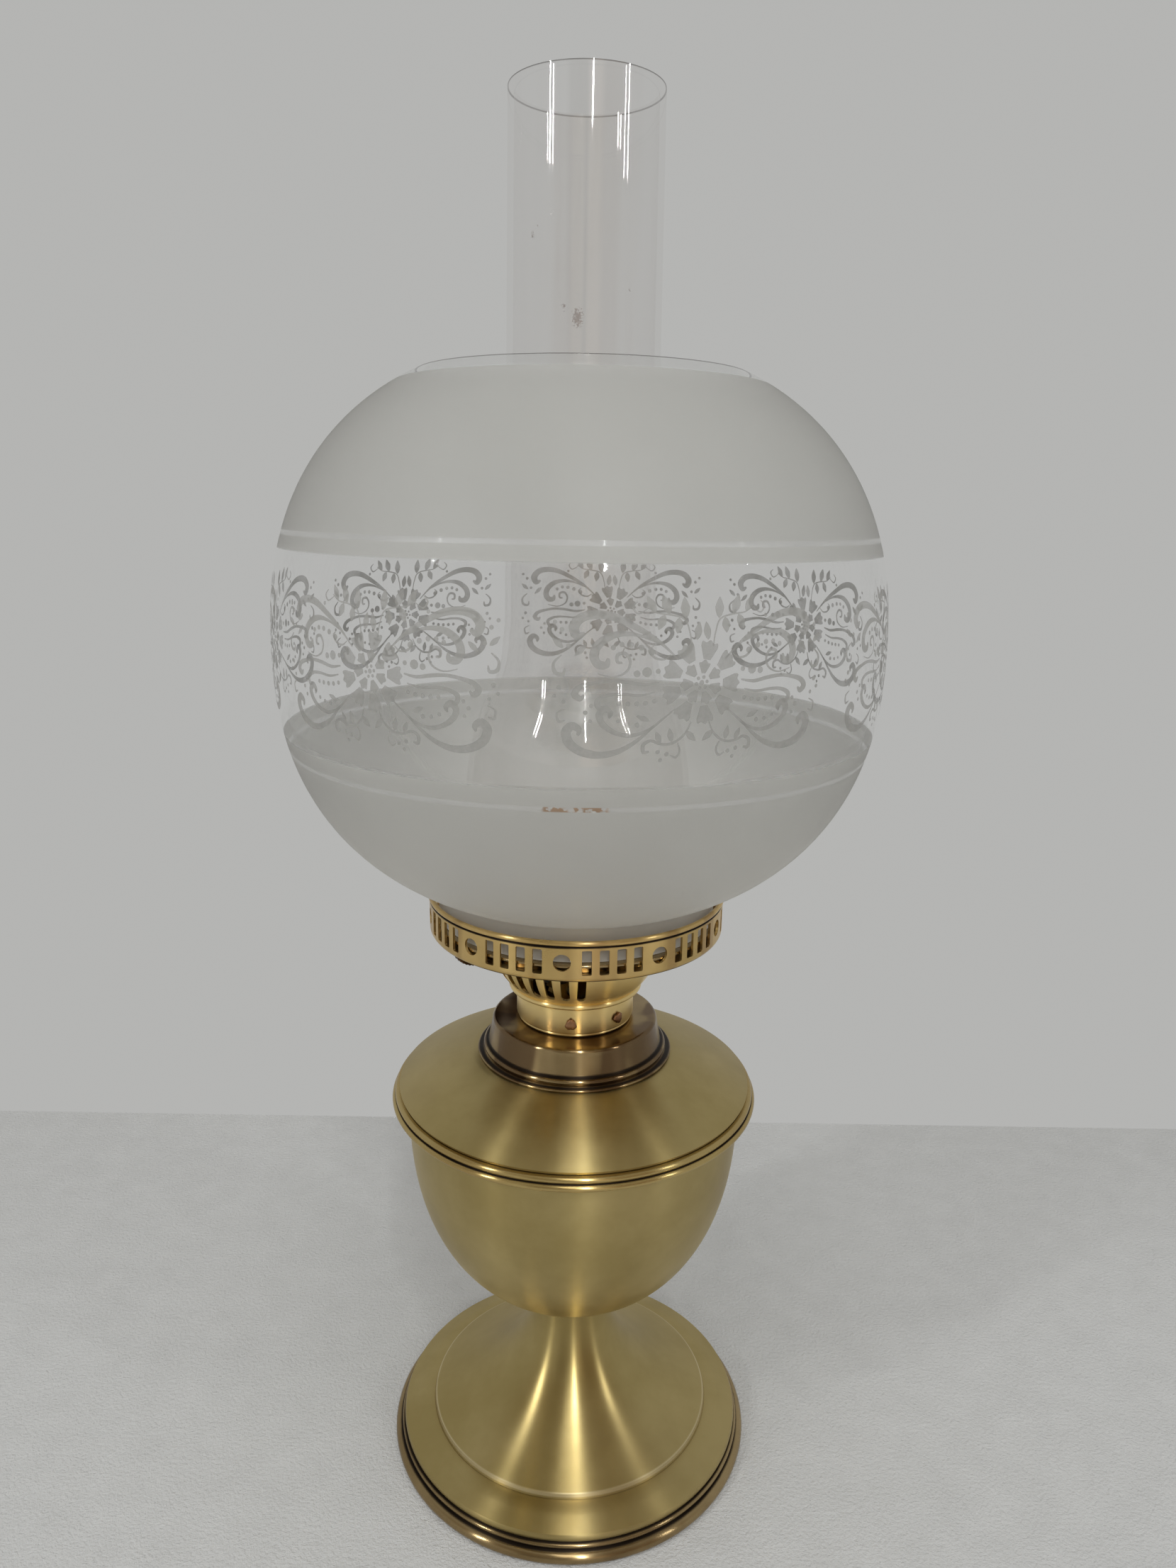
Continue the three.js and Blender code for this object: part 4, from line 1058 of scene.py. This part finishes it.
bpy.ops.mesh.extrude_region_move(TRANSFORM_OT_translate={"value": (0, spring_width, 0)})
bpy.ops.object.mode_set(mode="OBJECT")
thick = spring_strip.modifiers.new("thick", "SOLIDIFY")
thick.thickness = spring_wall * 0.9
thick.offset = 0
bpy.ops.object.modifier_apply(modifier="thick")
bpy.ops.object.mode_set(mode="EDIT")
bpy.ops.mesh.select_all(action="SELECT")
bpy.ops.mesh.normals_make_consistent(inside=False)
bpy.ops.object.mode_set(mode="OBJECT")
bpy.ops.object.shade_smooth_by_angle(angle=math.radians(35))
for i, spring in enumerate(with_copies(spring_strip, spring_count)):
    spring.name = f"chimney_spring_strip_{i + 1}"
    spring.data.transform(Matrix.Rotation(math.radians(spring_angle - 90 + i * 90), 4, "Z"))
    dress(spring, bright_brass)
    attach(spring, "burner")
    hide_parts(f"chimney_spring_{i + 1}")


# Wick tubes and bearings
# Flat brass tubes that guide the wicks, with windows for the spur wheels, and the small plates
# that carry the winders' inner ends. They keep their CAD solids.
for side in ("left", "right"):
    dress(cad_nodes[f"wick_tube_{side}"], brown_brass)
    dress(cad_nodes[f"winder_bearing_{side}"], bright_brass)


# Wicks
# Two flat tapes of woven cotton, cream where they hang in the kerosene and charred at the
# trimmed top. Each is a block grown into a tape with rounded selvedges and a slight ripple.
wick_width = 25.4 * mm
wick_thickness = 2.2 * mm
wick_hollow = 0.25 * mm


def cotton_finish():
    finish = Finish("wick_cotton")
    place = finish.place()
    x, y, z = finish.parts(place)
    along = x * winder_run.x + y * winder_run.y
    warp = (along * (2 * math.pi / (0.9 * mm))).sine()
    weft = (z * (2 * math.pi / (1.1 * mm))).sine()
    weave = warp * weft
    fuzz = finish.noise(place, 2400.0, 4.0, 0.7)
    char = (z + (fuzz - 0.5) * 0.004).step(wick_top - 3.2 * mm, wick_top - 0.6 * mm)
    cream = finish.blend(fuzz, (0.56, 0.49, 0.36), (0.80, 0.74, 0.60))
    colour = finish.blend(char, cream, (0.020, 0.017, 0.015))
    bump = finish.bump(weave * 0.5 + fuzz, 0.12 * mm)
    return finish.done(finish.surface(Base_Color=colour, Roughness=0.92, Normal=bump, Sheen_Weight=0.3))


wick_low, wick_top = heights("wick_left")
wick_length = wick_top - wick_low
wick_middle = (0, 0, (wick_low + wick_top) / 2)
wick_tape = block("wick_tape_left", wick_thickness, wick_width, wick_length, wick_middle)
bpy.ops.object.mode_set(mode="EDIT")
bpy.ops.mesh.select_all(action="SELECT")
bpy.ops.mesh.subdivide(number_cuts=11)
bpy.ops.mesh.subdivide(number_cuts=2)
bpy.ops.object.mode_set(mode="OBJECT")
for vertex in wick_tape.data.vertices:
    share = abs(vertex.co.y) / (wick_width / 2)
    rounding = 1 - 0.45 * max(share - 0.9, 0) * 10
    ripple = 0.05 * mm * math.sin(vertex.co.z * 420) * math.cos(vertex.co.y * 300)
    vertex.co.x = vertex.co.x * rounding * 0.94 + ripple
    vertex.co.y *= 1 - 0.01 * (math.sin(vertex.co.z * 900) + 1) * share
    if vertex.co.z > wick_top - 0.1 * mm:
        vertex.co.z -= wick_hollow * (1 - math.cos(vertex.co.y * 2400))
bpy.ops.object.shade_smooth_by_angle(angle=math.radians(50))
wick_cotton = cotton_finish()
for side, across, wick in zip(("left", "right"), wick_places, with_copies(wick_tape, 2)):
    wick.name = f"wick_tape_{side}"
    turn_to_winder(wick, 0, across, 0)
    dress(wick, wick_cotton)
    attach(wick, f"{side}_wick")
    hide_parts(f"wick_{side}")


# Winders
# Each wick has a steel shaft with two toothed wheels that grip it, and a dished dark knob
# with a milled edge, whose dark brown is partly painted shade. The wheels keep their CAD solids.
# Partly painted shade: the knob is coloured all over as dark as its shaded back looks.
knob_dark_and_shade_look = ((0.16, 0.085, 0.045), (0.075, 0.040, 0.022), (0.30, 0.19, 0.09), 0.34, 0.25)
dark_bronze = spun_brass("dark_bronze", *knob_dark_and_shade_look)
shaft_inner_end = 15.5 * mm
shaft_outer_end = 46.0 * mm
shaft_chamfer = 0.3 * mm
knob_radius = 11.6 * mm
knob_thickness = 3.6 * mm
knob_dish = 0.8 * mm
knob_hub = 3.6 * mm
knob_hub_length = 4.0 * mm
knob_teeth = 44
knob_tooth = 0.35 * mm
knob_inner_face = shaft_outer_end + seat_gap
knob_outer_face = knob_inner_face + knob_thickness
knob_boss = (0.42 * knob_radius, 0.36 * knob_radius, 0.24 * knob_radius)
dish_floor = knob_outer_face - knob_dish
hub_foot = shaft_outer_end - knob_hub_length
shaft = turned("winder_shaft_left_turned", [
    (0, -shaft_inner_end),
    (shaft_radius - shaft_chamfer, -shaft_inner_end),
    (shaft_radius, -shaft_inner_end + shaft_chamfer),
    (shaft_radius, shaft_outer_end - shaft_chamfer),
    (shaft_radius - shaft_chamfer, shaft_outer_end),
    (0, shaft_outer_end),
], 32)
knob = turned("winder_knob_left_turned", [
    (shaft_radius + seat_gap, hub_foot),
    (knob_hub - 0.4 * mm, hub_foot),
    (knob_hub, hub_foot + 0.4 * mm),
    (knob_hub, knob_inner_face - 0.3 * mm),
    (knob_hub + 0.3 * mm, knob_inner_face),
    (knob_radius - 1.4 * mm, knob_inner_face),
    (knob_radius - 0.5 * mm, knob_inner_face + 0.35 * mm),
    (knob_radius, knob_inner_face + 0.8 * mm),
    (knob_radius, knob_outer_face - 0.8 * mm),
    (knob_radius - 0.4 * mm, knob_outer_face - 0.3 * mm),
    *arc(knob_radius - 1.5 * mm, knob_outer_face - 0.5 * mm, 0.5 * mm, 60, 140, 5),
    (knob_radius - 3.0 * mm, dish_floor),
    (knob_boss[0], dish_floor),
    (knob_boss[1], dish_floor + 0.35 * mm),
    (knob_boss[2], dish_floor + 0.45 * mm),
    (0, dish_floor + 0.45 * mm),
    (0, knob_inner_face + 1.5 * mm),
    (shaft_radius + seat_gap, knob_inner_face + 1.5 * mm),
], 4 * knob_teeth)
for vertex in knob.data.vertices:
    reach = math.hypot(vertex.co.x, vertex.co.y)
    if reach > knob_radius - 0.2 * mm:
        turn = math.atan2(vertex.co.y, vertex.co.x)
        scale = 1 - knob_tooth / knob_radius * (0.5 + 0.5 * math.cos(knob_teeth * turn))
        vertex.co.x *= scale
        vertex.co.y *= scale
shafts, knobs = with_copies(shaft, 2), with_copies(knob, 2)
for side, across, shaft, knob in zip(("left", "right"), winder_places, shafts, knobs):
    shaft.name = f"winder_shaft_{side}_turned"
    knob.name = f"winder_knob_{side}_turned"
    for piece in (shaft, knob):
        piece.data.transform(Matrix.Rotation(-math.pi / 2, 4, "X"))
        turn_to_winder(piece, 0, across, winder_height)
        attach(piece, f"{side}_winder")
    dress(shaft, dull_steel)
    dress(knob, dark_bronze)
    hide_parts(f"winder_shaft_{side}")
    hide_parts(f"winder_knob_{side}")
    for k in (1, 2):
        dress(cad_nodes[f"spur_wheel_{side}_{k}"], bright_brass)


# Chimney
# A blown glass tube that swells round the flames. It is clear, so it shows by its edges,
# which are painted darker as painted shade, and by reflections, a thin dark line round its top,
# a faint bloom and a few smudges.
chimney_base, chimney_top = heights("chimney")
chimney_height = chimney_top - chimney_base
chimney_wall = 2.0 * mm
chimney_foot = 32.2 * mm
chimney_bulge = 39.3 * mm
chimney_tube = 25.4 * mm
chimney_mouth = 24.3 * mm
chimney_widest_share = 0.185
chimney_height_shares = (0, 0.045, 0.09, 0.135, chimney_widest_share, 0.24, 0.28, 0.332, 0.378, 0.47)
chimney_swell_shares = (0, 0.08, 0.5, 0.88, 1, 0.86, 0.66, 0.21, 0.05, 0)


def through_points(points, steps):
    """A smooth line through every point, with even steps between them."""
    line = []
    for i in range(len(points) - 1):
        p0 = Vector(points[max(i - 1, 0)])
        p1, p2 = Vector(points[i]), Vector(points[i + 1])
        p3 = Vector(points[min(i + 2, len(points) - 1)])
        for k in range(steps):
            t = k / steps
            line.append(tuple(
                0.5 * (2 * p1 + (p2 - p0) * t + (2 * p0 - 5 * p1 + 4 * p2 - p3) * t**2
                       + (3 * p1 - p0 - 3 * p2 + p3) * t**3)
            ))
    return line + [tuple(points[-1])]


# Smudges on the glass: angle from the front in degrees, height above its foot and size in mm
chimney_smudges = (
    (-4, 200, 1.9), (-14, 203, 0.9), (-39, 224, 1.1), (-35, 226, 0.8), (-23, 229, 0.9),
    (34, 209, 0.8), (-82, 262, 1.0), (150, 190, 1.2), (205, 150, 1.0), (95, 236, 0.8),
)


def clear_glass_finish():
    finish = Finish("clear_glass")
    place = finish.place()
    x, y, z = finish.parts(place)
    bloom = finish.noise(place, 26.0, 4.0, 0.6)
    smears = finish.noise(finish.vector(x, y, z * 0.06), 150.0, 3.0, 0.6)
    ripple = finish.noise(finish.vector(x, y, z * 0.35), 34.0, 2.0)
    grain = finish.noise(place, 1500.0, 3.0, 0.7)
    edge = finish.node("ShaderNodeLayerWeight", inputs={"Blend": 0.22}, output="Facing")
    outer_edge = ((x * x + y * y) ** 0.5).step(chimney_mouth - 0.55 * mm, chimney_mouth - 0.25 * mm)
    lip = outer_edge * z.step(chimney_top - 0.5 * mm, chimney_top - 0.25 * mm)
    smudge = 0.0
    for degrees, height, size in chimney_smudges:
        turn = math.radians(degrees)
        spot_x, spot_y = chimney_tube * math.sin(turn), -chimney_tube * math.cos(turn)
        away = (x - spot_x) ** 2.0 + (y - spot_y) ** 2.0
        away = away + (0.6 * (z - chimney_base - height * mm)) ** 2.0
        ragged = away**0.5 + (grain - 0.5) * 2.4 * size * mm
        smudge = (1 - ragged.step(size * 0.5 * mm, size * 1.1 * mm)).largest(smudge)
    alpha = 0.07 + 0.5 * edge**3.0 + 0.03 * bloom.step(0.45, 0.8) + 0.04 * smears.step(0.45, 0.75)
    alpha = (alpha + 0.12 * edge.step(0.9, 1.0)).largest(0.55 * lip).largest(0.5 * smudge)
    # Painted shade: the colour darkens towards the glass's glancing edges, as well as on the line round
    # its top.
    dark = lip.largest(0.45 * edge.step(0.9, 1.0))
    colour = finish.blend(dark, (0.78, 0.75, 0.73), (0.22, 0.21, 0.20))
    colour = finish.blend(smudge, colour, (0.16, 0.10, 0.07))
    bump = finish.bump(ripple, 0.2 * mm)
    glass = finish.surface(
        Base_Color=colour, Metallic=1.0, Roughness=0.035 + 0.4 * smudge, Alpha=alpha, Normal=bump
    )
    return finish.done(glass)


chimney_points = []
for height_share, swell in zip(chimney_height_shares, chimney_swell_shares):
    straight = chimney_foot if height_share < chimney_widest_share else chimney_tube
    radius = straight + (chimney_bulge - straight) * swell
    chimney_points.append((radius, chimney_base + chimney_height * height_share))
chimney_points.append((chimney_mouth, chimney_top))
chimney_outline = sheet_outline(through_points(chimney_points, 6), chimney_wall)
chimney = turned("chimney_blown", chimney_outline, 128, 60)
dress(chimney, clear_glass_finish())
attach(chimney, "chimney_glass")
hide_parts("chimney")


# Ball shade
# A blown glass ball, frosted on the outside except for a clear band round its middle and the
# clear lip of its mouth. A thin line above and below the band, the lower part and the inner side
# are painted paler as painted light, and the glancing edges darker as painted shade.
shade_base, shade_mouth_top = heights("ball_shade")
shade_radius = 101.7 * mm
shade_top_reach = 96.34 * mm
shade_bottom_reach = 92.73 * mm
shade_power = 2.335
shade_middle = 315.35 * mm
shade_wall = 2.6 * mm
shade_mouth = 53.4 * mm
shade_neck = 49.3 * mm
band_bottom = 288.7 * mm
band_top = 346.9 * mm
line_below = 282.9 * mm
line_above = 351.8 * mm
line_half = 0.7 * mm


def frosted_finish():
    finish = Finish("frosted_shade")
    place = finish.place()
    x, y, z = finish.parts(place)
    grain = finish.noise(place, 900.0, 4.0, 0.7)
    cloud = finish.noise(place, 14.0, 4.0, 0.55)
    wobble = (cloud - 0.5) * 0.0008
    soft = 0.35 * mm
    band = (z + wobble).step(band_bottom - soft, band_bottom + soft)
    band = band - (z + wobble).step(band_top - soft, band_top + soft)
    upper, lower = (
        1 - (z - line).size().step(line_half - soft / 2, line_half + soft / 2)
        for line in (line_above, line_below)
    )
    lines = upper.largest(lower)
    mouth = z.step(shade_mouth_top - 4.1 * mm, shade_mouth_top - 3.8 * mm)
    lip = z.step(shade_mouth_top - 0.4 * mm, shade_mouth_top - 0.2 * mm)
    inner = finish.node("ShaderNodeAttribute", {"attribute_name": "inner"}, output="Fac")
    low = 1 - z.step(band_bottom - 60 * mm, band_bottom)
    edge = finish.node("ShaderNodeLayerWeight", inputs={"Blend": 0.22}, output="Facing")
    tone = finish.blend(cloud, (0.54, 0.535, 0.50), (0.63, 0.62, 0.59))
    # Painted shade: the frost darkens towards its glancing edges.
    tone = finish.blend(edge.step(0.15, 0.8), tone, (0.38, 0.37, 0.345))
    # Painted light: the frost is painted paler towards its bottom.
    tone = finish.blend(low, tone, (0.82, 0.80, 0.75))
    # Painted light: the thin lines above and below the band are paler, standing in for the light
    # through them.
    tone = finish.blend(lines, tone, (0.70, 0.695, 0.675))
    # Painted light: the inner side of the wall is painted paler, as if lit through the frost.
    tone = finish.blend(inner, tone, (0.84, 0.835, 0.81))
    # Painted reflection: brown flecks on the front of the lower line stand in for the brown room that
    # shows in it.
    near_front = 1 - (x - 0.3 * mm).size().step(8.0 * mm, 9.5 * mm).largest(y.step(-0.01, 0.0))
    painted_brown_reflection = lower * near_front * finish.noise(place, 420.0).step(0.44, 0.52)
    tone = finish.blend(painted_brown_reflection, tone, (0.36, 0.19, 0.09))
    frost_bump = finish.bump(grain, 0.03 * mm)
    frost = finish.surface(
        Base_Color=tone, Roughness=0.55 - 0.35 * inner - 0.1 * lines,
        Alpha=0.95 - 0.1 * lines - 0.55 * inner, Normal=frost_bump,
        Specular_IOR_Level=0.35, Transmission_Weight=0.6
    )
    pale = finish.blend(lip, (0.93, 0.94, 0.93), (0.30, 0.29, 0.28))
    alpha = (0.02 + 0.42 * edge**3.0 + 0.13 * mouth).largest(0.6 * lip)
    glass = finish.surface(Base_Color=pale, Metallic=1.0, Roughness=0.035 + 0.2 * mouth, Alpha=alpha)
    clear = band.largest(mouth).largest((lines - painted_brown_reflection) * 0.18)
    return finish.done(finish.node("ShaderNodeMixShader", inputs={0: clear, 1: frost, 2: glass}))


def shade_point(height):
    """The shade's outside radius at a height."""
    lift = height - shade_middle
    reach = shade_top_reach if lift > 0 else shade_bottom_reach
    return shade_radius * max(1 - (abs(lift) / reach) ** shade_power, 0) ** (1 / shade_power)


shade_curve = [(shade_neck, shade_base), (shade_neck, shade_base + 5 * mm)]
neck_slant = -math.acos((shade_neck / shade_radius) ** (shade_power / 2))
mouth_slant = math.acos((shade_mouth / shade_radius) ** (shade_power / 2))
shade_steps = 48
for i in range(-shade_steps, shade_steps + 1):
    slant = (abs(i) / shade_steps) ** 0.9 * (neck_slant if i < 0 else mouth_slant)
    reach = shade_bottom_reach if slant < 0 else shade_top_reach
    lift = math.copysign(reach * abs(math.sin(slant)) ** (2 / shade_power), slant)
    shade_curve.append((shade_radius * math.cos(slant) ** (2 / shade_power), shade_middle + lift))
ball_shade = turned("ball_shade_blown", sheet_outline(shade_curve, shade_wall), 192, 60)
inner = ball_shade.data.attributes.new("inner", "FLOAT", "POINT")
for vertex, mark in zip(ball_shade.data.vertices, inner.data):
    across = math.hypot(vertex.co.x, vertex.co.y)
    outside = max(shade_point(vertex.co.z), shade_neck)
    mark.value = float(across < outside - shade_wall * 0.4)
dress(ball_shade, frosted_finish())
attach(ball_shade, "shade_glass")
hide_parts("ball_shade")


# Shade etching
# The flower border etched into the clear band: seven layered flowers with thick-ended scrolls,
# leaf sprigs, curls and rows of dots. Each stroke is a thin flat strip that lies on the glass.
etch_repeat = 7
etch_first_angle = 18.6
etch_middle = 317.1 * mm
etch_lift = 0.02 * mm
etch_layer = 0.012 * mm
etch_pieces = []


def etch_height():
    """Each stroke lies a hair above the one before it, in a cycle of five."""
    return etch_lift + (len(etch_pieces) % 5) * etch_layer


def etch_stroke(points, widths, steps=3):
    """A flat strip along a smooth line, its widths given from start to end, in millimetres."""
    line = through_points(points, steps)
    bpy.ops.object.select_all(action="DESELECT")
    bpy.ops.mesh.primitive_grid_add(x_subdivisions=len(line) - 1, y_subdivisions=1, size=1)
    strip = bpy.context.object
    height = etch_height()
    for k, vertex in enumerate(strip.data.vertices):
        i = k % len(line)
        side = 1 if k >= len(line) else -1
        run = Vector(line[min(i + 1, len(line) - 1)]) - Vector(line[max(i - 1, 0)])
        run.normalize()
        along = i / (len(line) - 1) * (len(widths) - 1)
        low = min(int(along), len(widths) - 2)
        width = 1.2 * (widths[low] + (widths[low + 1] - widths[low]) * (along - low))
        across = Vector((-run.y, run.x)) * side * width / 2
        vertex.co = ((line[i][0] + across.x) * mm, (line[i][1] + across.y) * mm, height)
    etch_pieces.append(strip)


def etch_leaf(start, tip, width):
    middle = ((start[0] + tip[0]) / 2, (start[1] + tip[1]) / 2)
    etch_stroke([start, middle, tip], [0.15, width * 0.8, width, width * 0.6, 0.05])


def etch_dot(x, y, radius):
    bpy.ops.object.select_all(action="DESELECT")
    bpy.ops.mesh.primitive_circle_add(vertices=9, radius=radius * mm, fill_type="NGON")
    spot = bpy.context.object
    spot.data.transform(Matrix.Translation((x * mm, y * mm, etch_height())))
    etch_pieces.append(spot)


def etch_petal(turn, inner, outer, half_angle, bumps):
    """One filled petal round the flower's middle, narrow at its foot, with a ragged tip."""
    outline = []
    for i in range(17):
        share = i / 8 - 1
        rise = (1 - abs(share) ** 6) ** 0.5
        reach = inner + (outer - inner) * rise
        reach += 0.42 * math.cos(bumps * math.pi * share) * (1 - share * share)
        angle = math.radians(turn) + half_angle * share * (0.5 + 0.5 * rise)
        outline.append((reach * math.sin(angle) * mm, reach * math.cos(angle) * mm, etch_height()))
    etch_pieces.append(drawn("etching_petal", outline, "NGON"))


# Scrolls of the right half, from the flower outwards
scroll_strokes = [
    (
        [(6.5, 6.0), (9.5, 8.8), (12.8, 11.4), (17.3, 14.0), (22.8, 16.6), (27.6, 17.4), (31.6, 16.6),
         (33.6, 14.2), (32.6, 12.0), (30.8, 12.8)],
        [0.3, 0.55, 0.9, 1.3, 1.6, 1.8, 2.0, 2.3, 1.9, 0.5],
    ),
    (
        [(11.8, 10.2), (16.0, 12.0), (20.6, 12.7), (24.6, 11.9), (27.6, 9.6), (28.4, 6.9), (27.2, 4.9),
         (25.2, 5.0), (24.8, 6.6)],
        [0.3, 0.6, 1.1, 1.6, 1.9, 2.0, 1.9, 1.6, 0.5],
    ),
    (
        [(27.5, 2.6), (23.5, 1.8), (20.2, 3.1), (19.2, 5.6), (20.4, 7.7), (22.4, 7.4), (22.5, 5.6),
         (21.2, 5.4)],
        [0.2, 0.35, 0.5, 0.6, 0.75, 0.8, 0.7, 0.4],
    ),
    (
        [(11.5, 0.4), (15.5, -0.2), (20.0, 0.5), (24.5, 0.8), (28.5, 0.2), (31.8, -0.8), (33.2, -2.6),
         (31.8, -3.8), (30.8, -2.8)],
        [0.35, 0.8, 0.9, 0.8, 0.9, 1.2, 1.6, 1.3, 0.4],
    ),
    (
        [(12.5, -2.1), (16.5, -2.9), (21.0, -2.6), (24.8, -2.9), (27.4, -4.3), (27.0, -6.1),
         (25.4, -5.8)],
        [0.3, 0.6, 0.7, 0.85, 1.2, 1.2, 0.4],
    ),
    (
        [(7.0, -6.6), (10.3, -9.2), (14.0, -12.0), (18.5, -13.4), (22.8, -12.6), (25.9, -10.4),
         (26.9, -7.9), (25.3, -6.4), (23.9, -7.6), (24.5, -8.8)],
        [0.3, 0.5, 0.7, 0.9, 1.1, 1.4, 1.6, 1.5, 1.1, 0.4],
    ),
    (
        [(12.6, -11.0), (16.4, -14.4), (20.8, -17.2), (25.8, -18.6), (30.6, -18.0), (34.2, -15.8),
         (35.4, -12.8), (33.9, -10.9), (32.0, -11.9), (32.3, -13.4)],
        [0.4, 0.8, 1.2, 1.6, 1.9, 2.1, 2.2, 1.9, 1.4, 0.5],
    ),
    (
        [(2.5, -10.0), (4.0, -13.2), (7.0, -15.6), (10.4, -15.9), (13.2, -14.9), (15.2, -16.0),
         (15.0, -18.0), (13.5, -17.8)],
        [0.3, 0.5, 0.65, 0.6, 0.7, 0.9, 0.9, 0.4],
    ),
    ([(6.0, -15.6), (5.2, -18.0), (6.2, -19.6), (7.8, -18.9)], [0.3, 0.55, 0.6, 0.3]),
    (
        [(3.0, 9.4), (3.6, 13.0), (5.0, 16.2), (8.5, 17.3), (12.4, 17.8), (15.2, 19.4)],
        [0.3, 0.4, 0.4, 0.2],
    ),
    ([(14.6, 19.0), (17.2, 17.6), (18.6, 19.2), (17.4, 20.6)], [0.2, 0.4, 0.5, 0.2]),
    ([(36.6, 7.2), (38.6, 5.2), (38.2, 2.8), (36.2, 2.4), (35.8, 4.0)], [0.3, 0.6, 0.9, 0.8, 0.3]),
    ([(35.6, -6.4), (37.6, -7.6), (37.2, -9.8), (35.6, -9.4)], [0.25, 0.5, 0.7, 0.3]),
    ([(8.6, 7.4), (10.4, 6.2), (12.8, 6.6), (14.4, 8.4), (13.2, 9.6)], [0.2, 0.45, 0.55, 0.5, 0.2]),
]
scroll_leaves = [
    ((4.6, 16.4), (5.0, 21.8), 2.2), ((8.9, 17.5), (10.8, 22.2), 2.2),
    ((6.4, 16.6), (6.9, 12.6), 2.0), ((10.3, 17.3), (12.0, 13.6), 2.0),
    ((12.6, 18.0), (15.0, 22.0), 1.8), ((1.6, 11.0), (0.9, 15.6), 1.8),
    ((7.6, -15.4), (8.4, -11.6), 1.5), ((10.6, -15.6), (12.0, -12.4), 1.4),
    ((3.8, -12.6), (0.9, -15.4), 1.6), ((13.8, -9.6), (17.4, -8.2), 1.3),
    ((30.4, 9.8), (33.4, 7.0), 1.3), ((36.2, 9.0), (39.0, 11.4), 1.3),
]
scroll_dots = [
    (12.7, -4.4, 0.55), (15.0, -4.9, 0.6), (17.3, -5.1, 0.6), (19.6, -5.1, 0.6), (21.9, -5.0, 0.55),
    (24.2, -7.9, 0.5), (14.8, 3.0, 1.15), (17.4, 2.6, 0.8), (11.9, 3.2, 0.6), (13.6, 8.0, 0.75),
    (16.4, 9.2, 0.7), (19.0, 9.9, 0.65), (21.4, 10.0, 0.6), (23.6, 9.2, 0.6), (34.9, 9.6, 0.55),
    (37.2, -1.0, 0.6), (38.4, -3.2, 0.5), (36.0, -4.6, 0.5), (8.8, -18.6, 0.55), (11.2, -18.0, 0.55),
    (10.4, -20.2, 0.5), (29.0, -5.6, 0.5), (30.4, -7.4, 0.55), (29.2, -9.6, 0.5), (17.0, -10.6, 0.6),
    (19.6, -10.4, 0.55), (22.0, -9.6, 0.5), (18.9, 16.8, 0.5), (36.6, 13.6, 0.55), (38.4, 15.4, 0.5),
]
for points, widths in scroll_strokes:
    etch_stroke(points, widths, 4)
for start, tip, width in scroll_leaves:
    etch_leaf(start, tip, width)
for x, y, radius in scroll_dots:
    etch_dot(x, y, 1.15 * radius)
right_half, left_half = with_copies(joined("etching_right_half", etch_pieces), 2)
left_half.data.transform(Matrix.Diagonal((-1, 1, 1, 1)))

# The flower between the halves: two rings of petals round a small rosette of dots. A ring's
# petals are given by their count, first turn, inner and outer reach, half angle and bumps
petal_rings = ((9, 12, 6.1, 10.7, 0.33, 3), (7, 8, 2.5, 5.6, 0.43, 2))
etch_pieces = []
for petal_count, first_turn, *petal_shape in petal_rings:
    for i in range(petal_count):
        etch_petal(360 / petal_count * i + first_turn, *petal_shape)
for i in range(6):
    sway = math.radians(60 * i + 20)
    etch_dot(1.5 * math.sin(sway), 1.5 * math.cos(sway), 0.5)
etch_dot(0, 0, 0.7)
flower = joined("etching_flower", etch_pieces)


def etched_finish():
    finish = Finish("etched_glass")
    place = finish.place()
    grain = finish.noise(place, 1300.0, 4.0, 0.7)
    cloud = finish.noise(place, 120.0, 3.0)
    colour = finish.blend(cloud, (0.25, 0.243, 0.225), (0.37, 0.36, 0.335))
    alpha = 0.55 + 0.3 * cloud.step(0.3, 0.7) + 0.2 * (grain - 0.5)
    bump = finish.bump(grain, 0.03 * mm)
    return finish.done(finish.surface(Base_Color=colour, Roughness=0.7, Alpha=alpha, Normal=bump))


motifs = with_copies(joined("etching_motif", [flower, right_half, left_half]), etch_repeat)
for i, copy in enumerate(motifs):
    turn = math.radians(etch_first_angle) + 2 * math.pi * i / etch_repeat
    for vertex in copy.data.vertices:
        height = etch_middle + vertex.co.y
        reach = shade_point(height) + vertex.co.z
        angle = turn + vertex.co.x / shade_radius
        vertex.co = (reach * math.sin(angle), -reach * math.cos(angle), height)
etching = joined("shade_etching", motifs)
bpy.ops.object.mode_set(mode="EDIT")
bpy.ops.mesh.select_all(action="SELECT")
bpy.ops.mesh.flip_normals()
bpy.ops.object.mode_set(mode="OBJECT")
for polygon in etching.data.polygons:
    middle = polygon.center
    polygon.select = polygon.normal.x * middle.x + polygon.normal.y * middle.y < 0
bpy.ops.object.mode_set(mode="EDIT")
bpy.ops.mesh.flip_normals()
bpy.ops.object.mode_set(mode="OBJECT")
dress(etching, etched_finish())
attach(etching, "shade_glass")
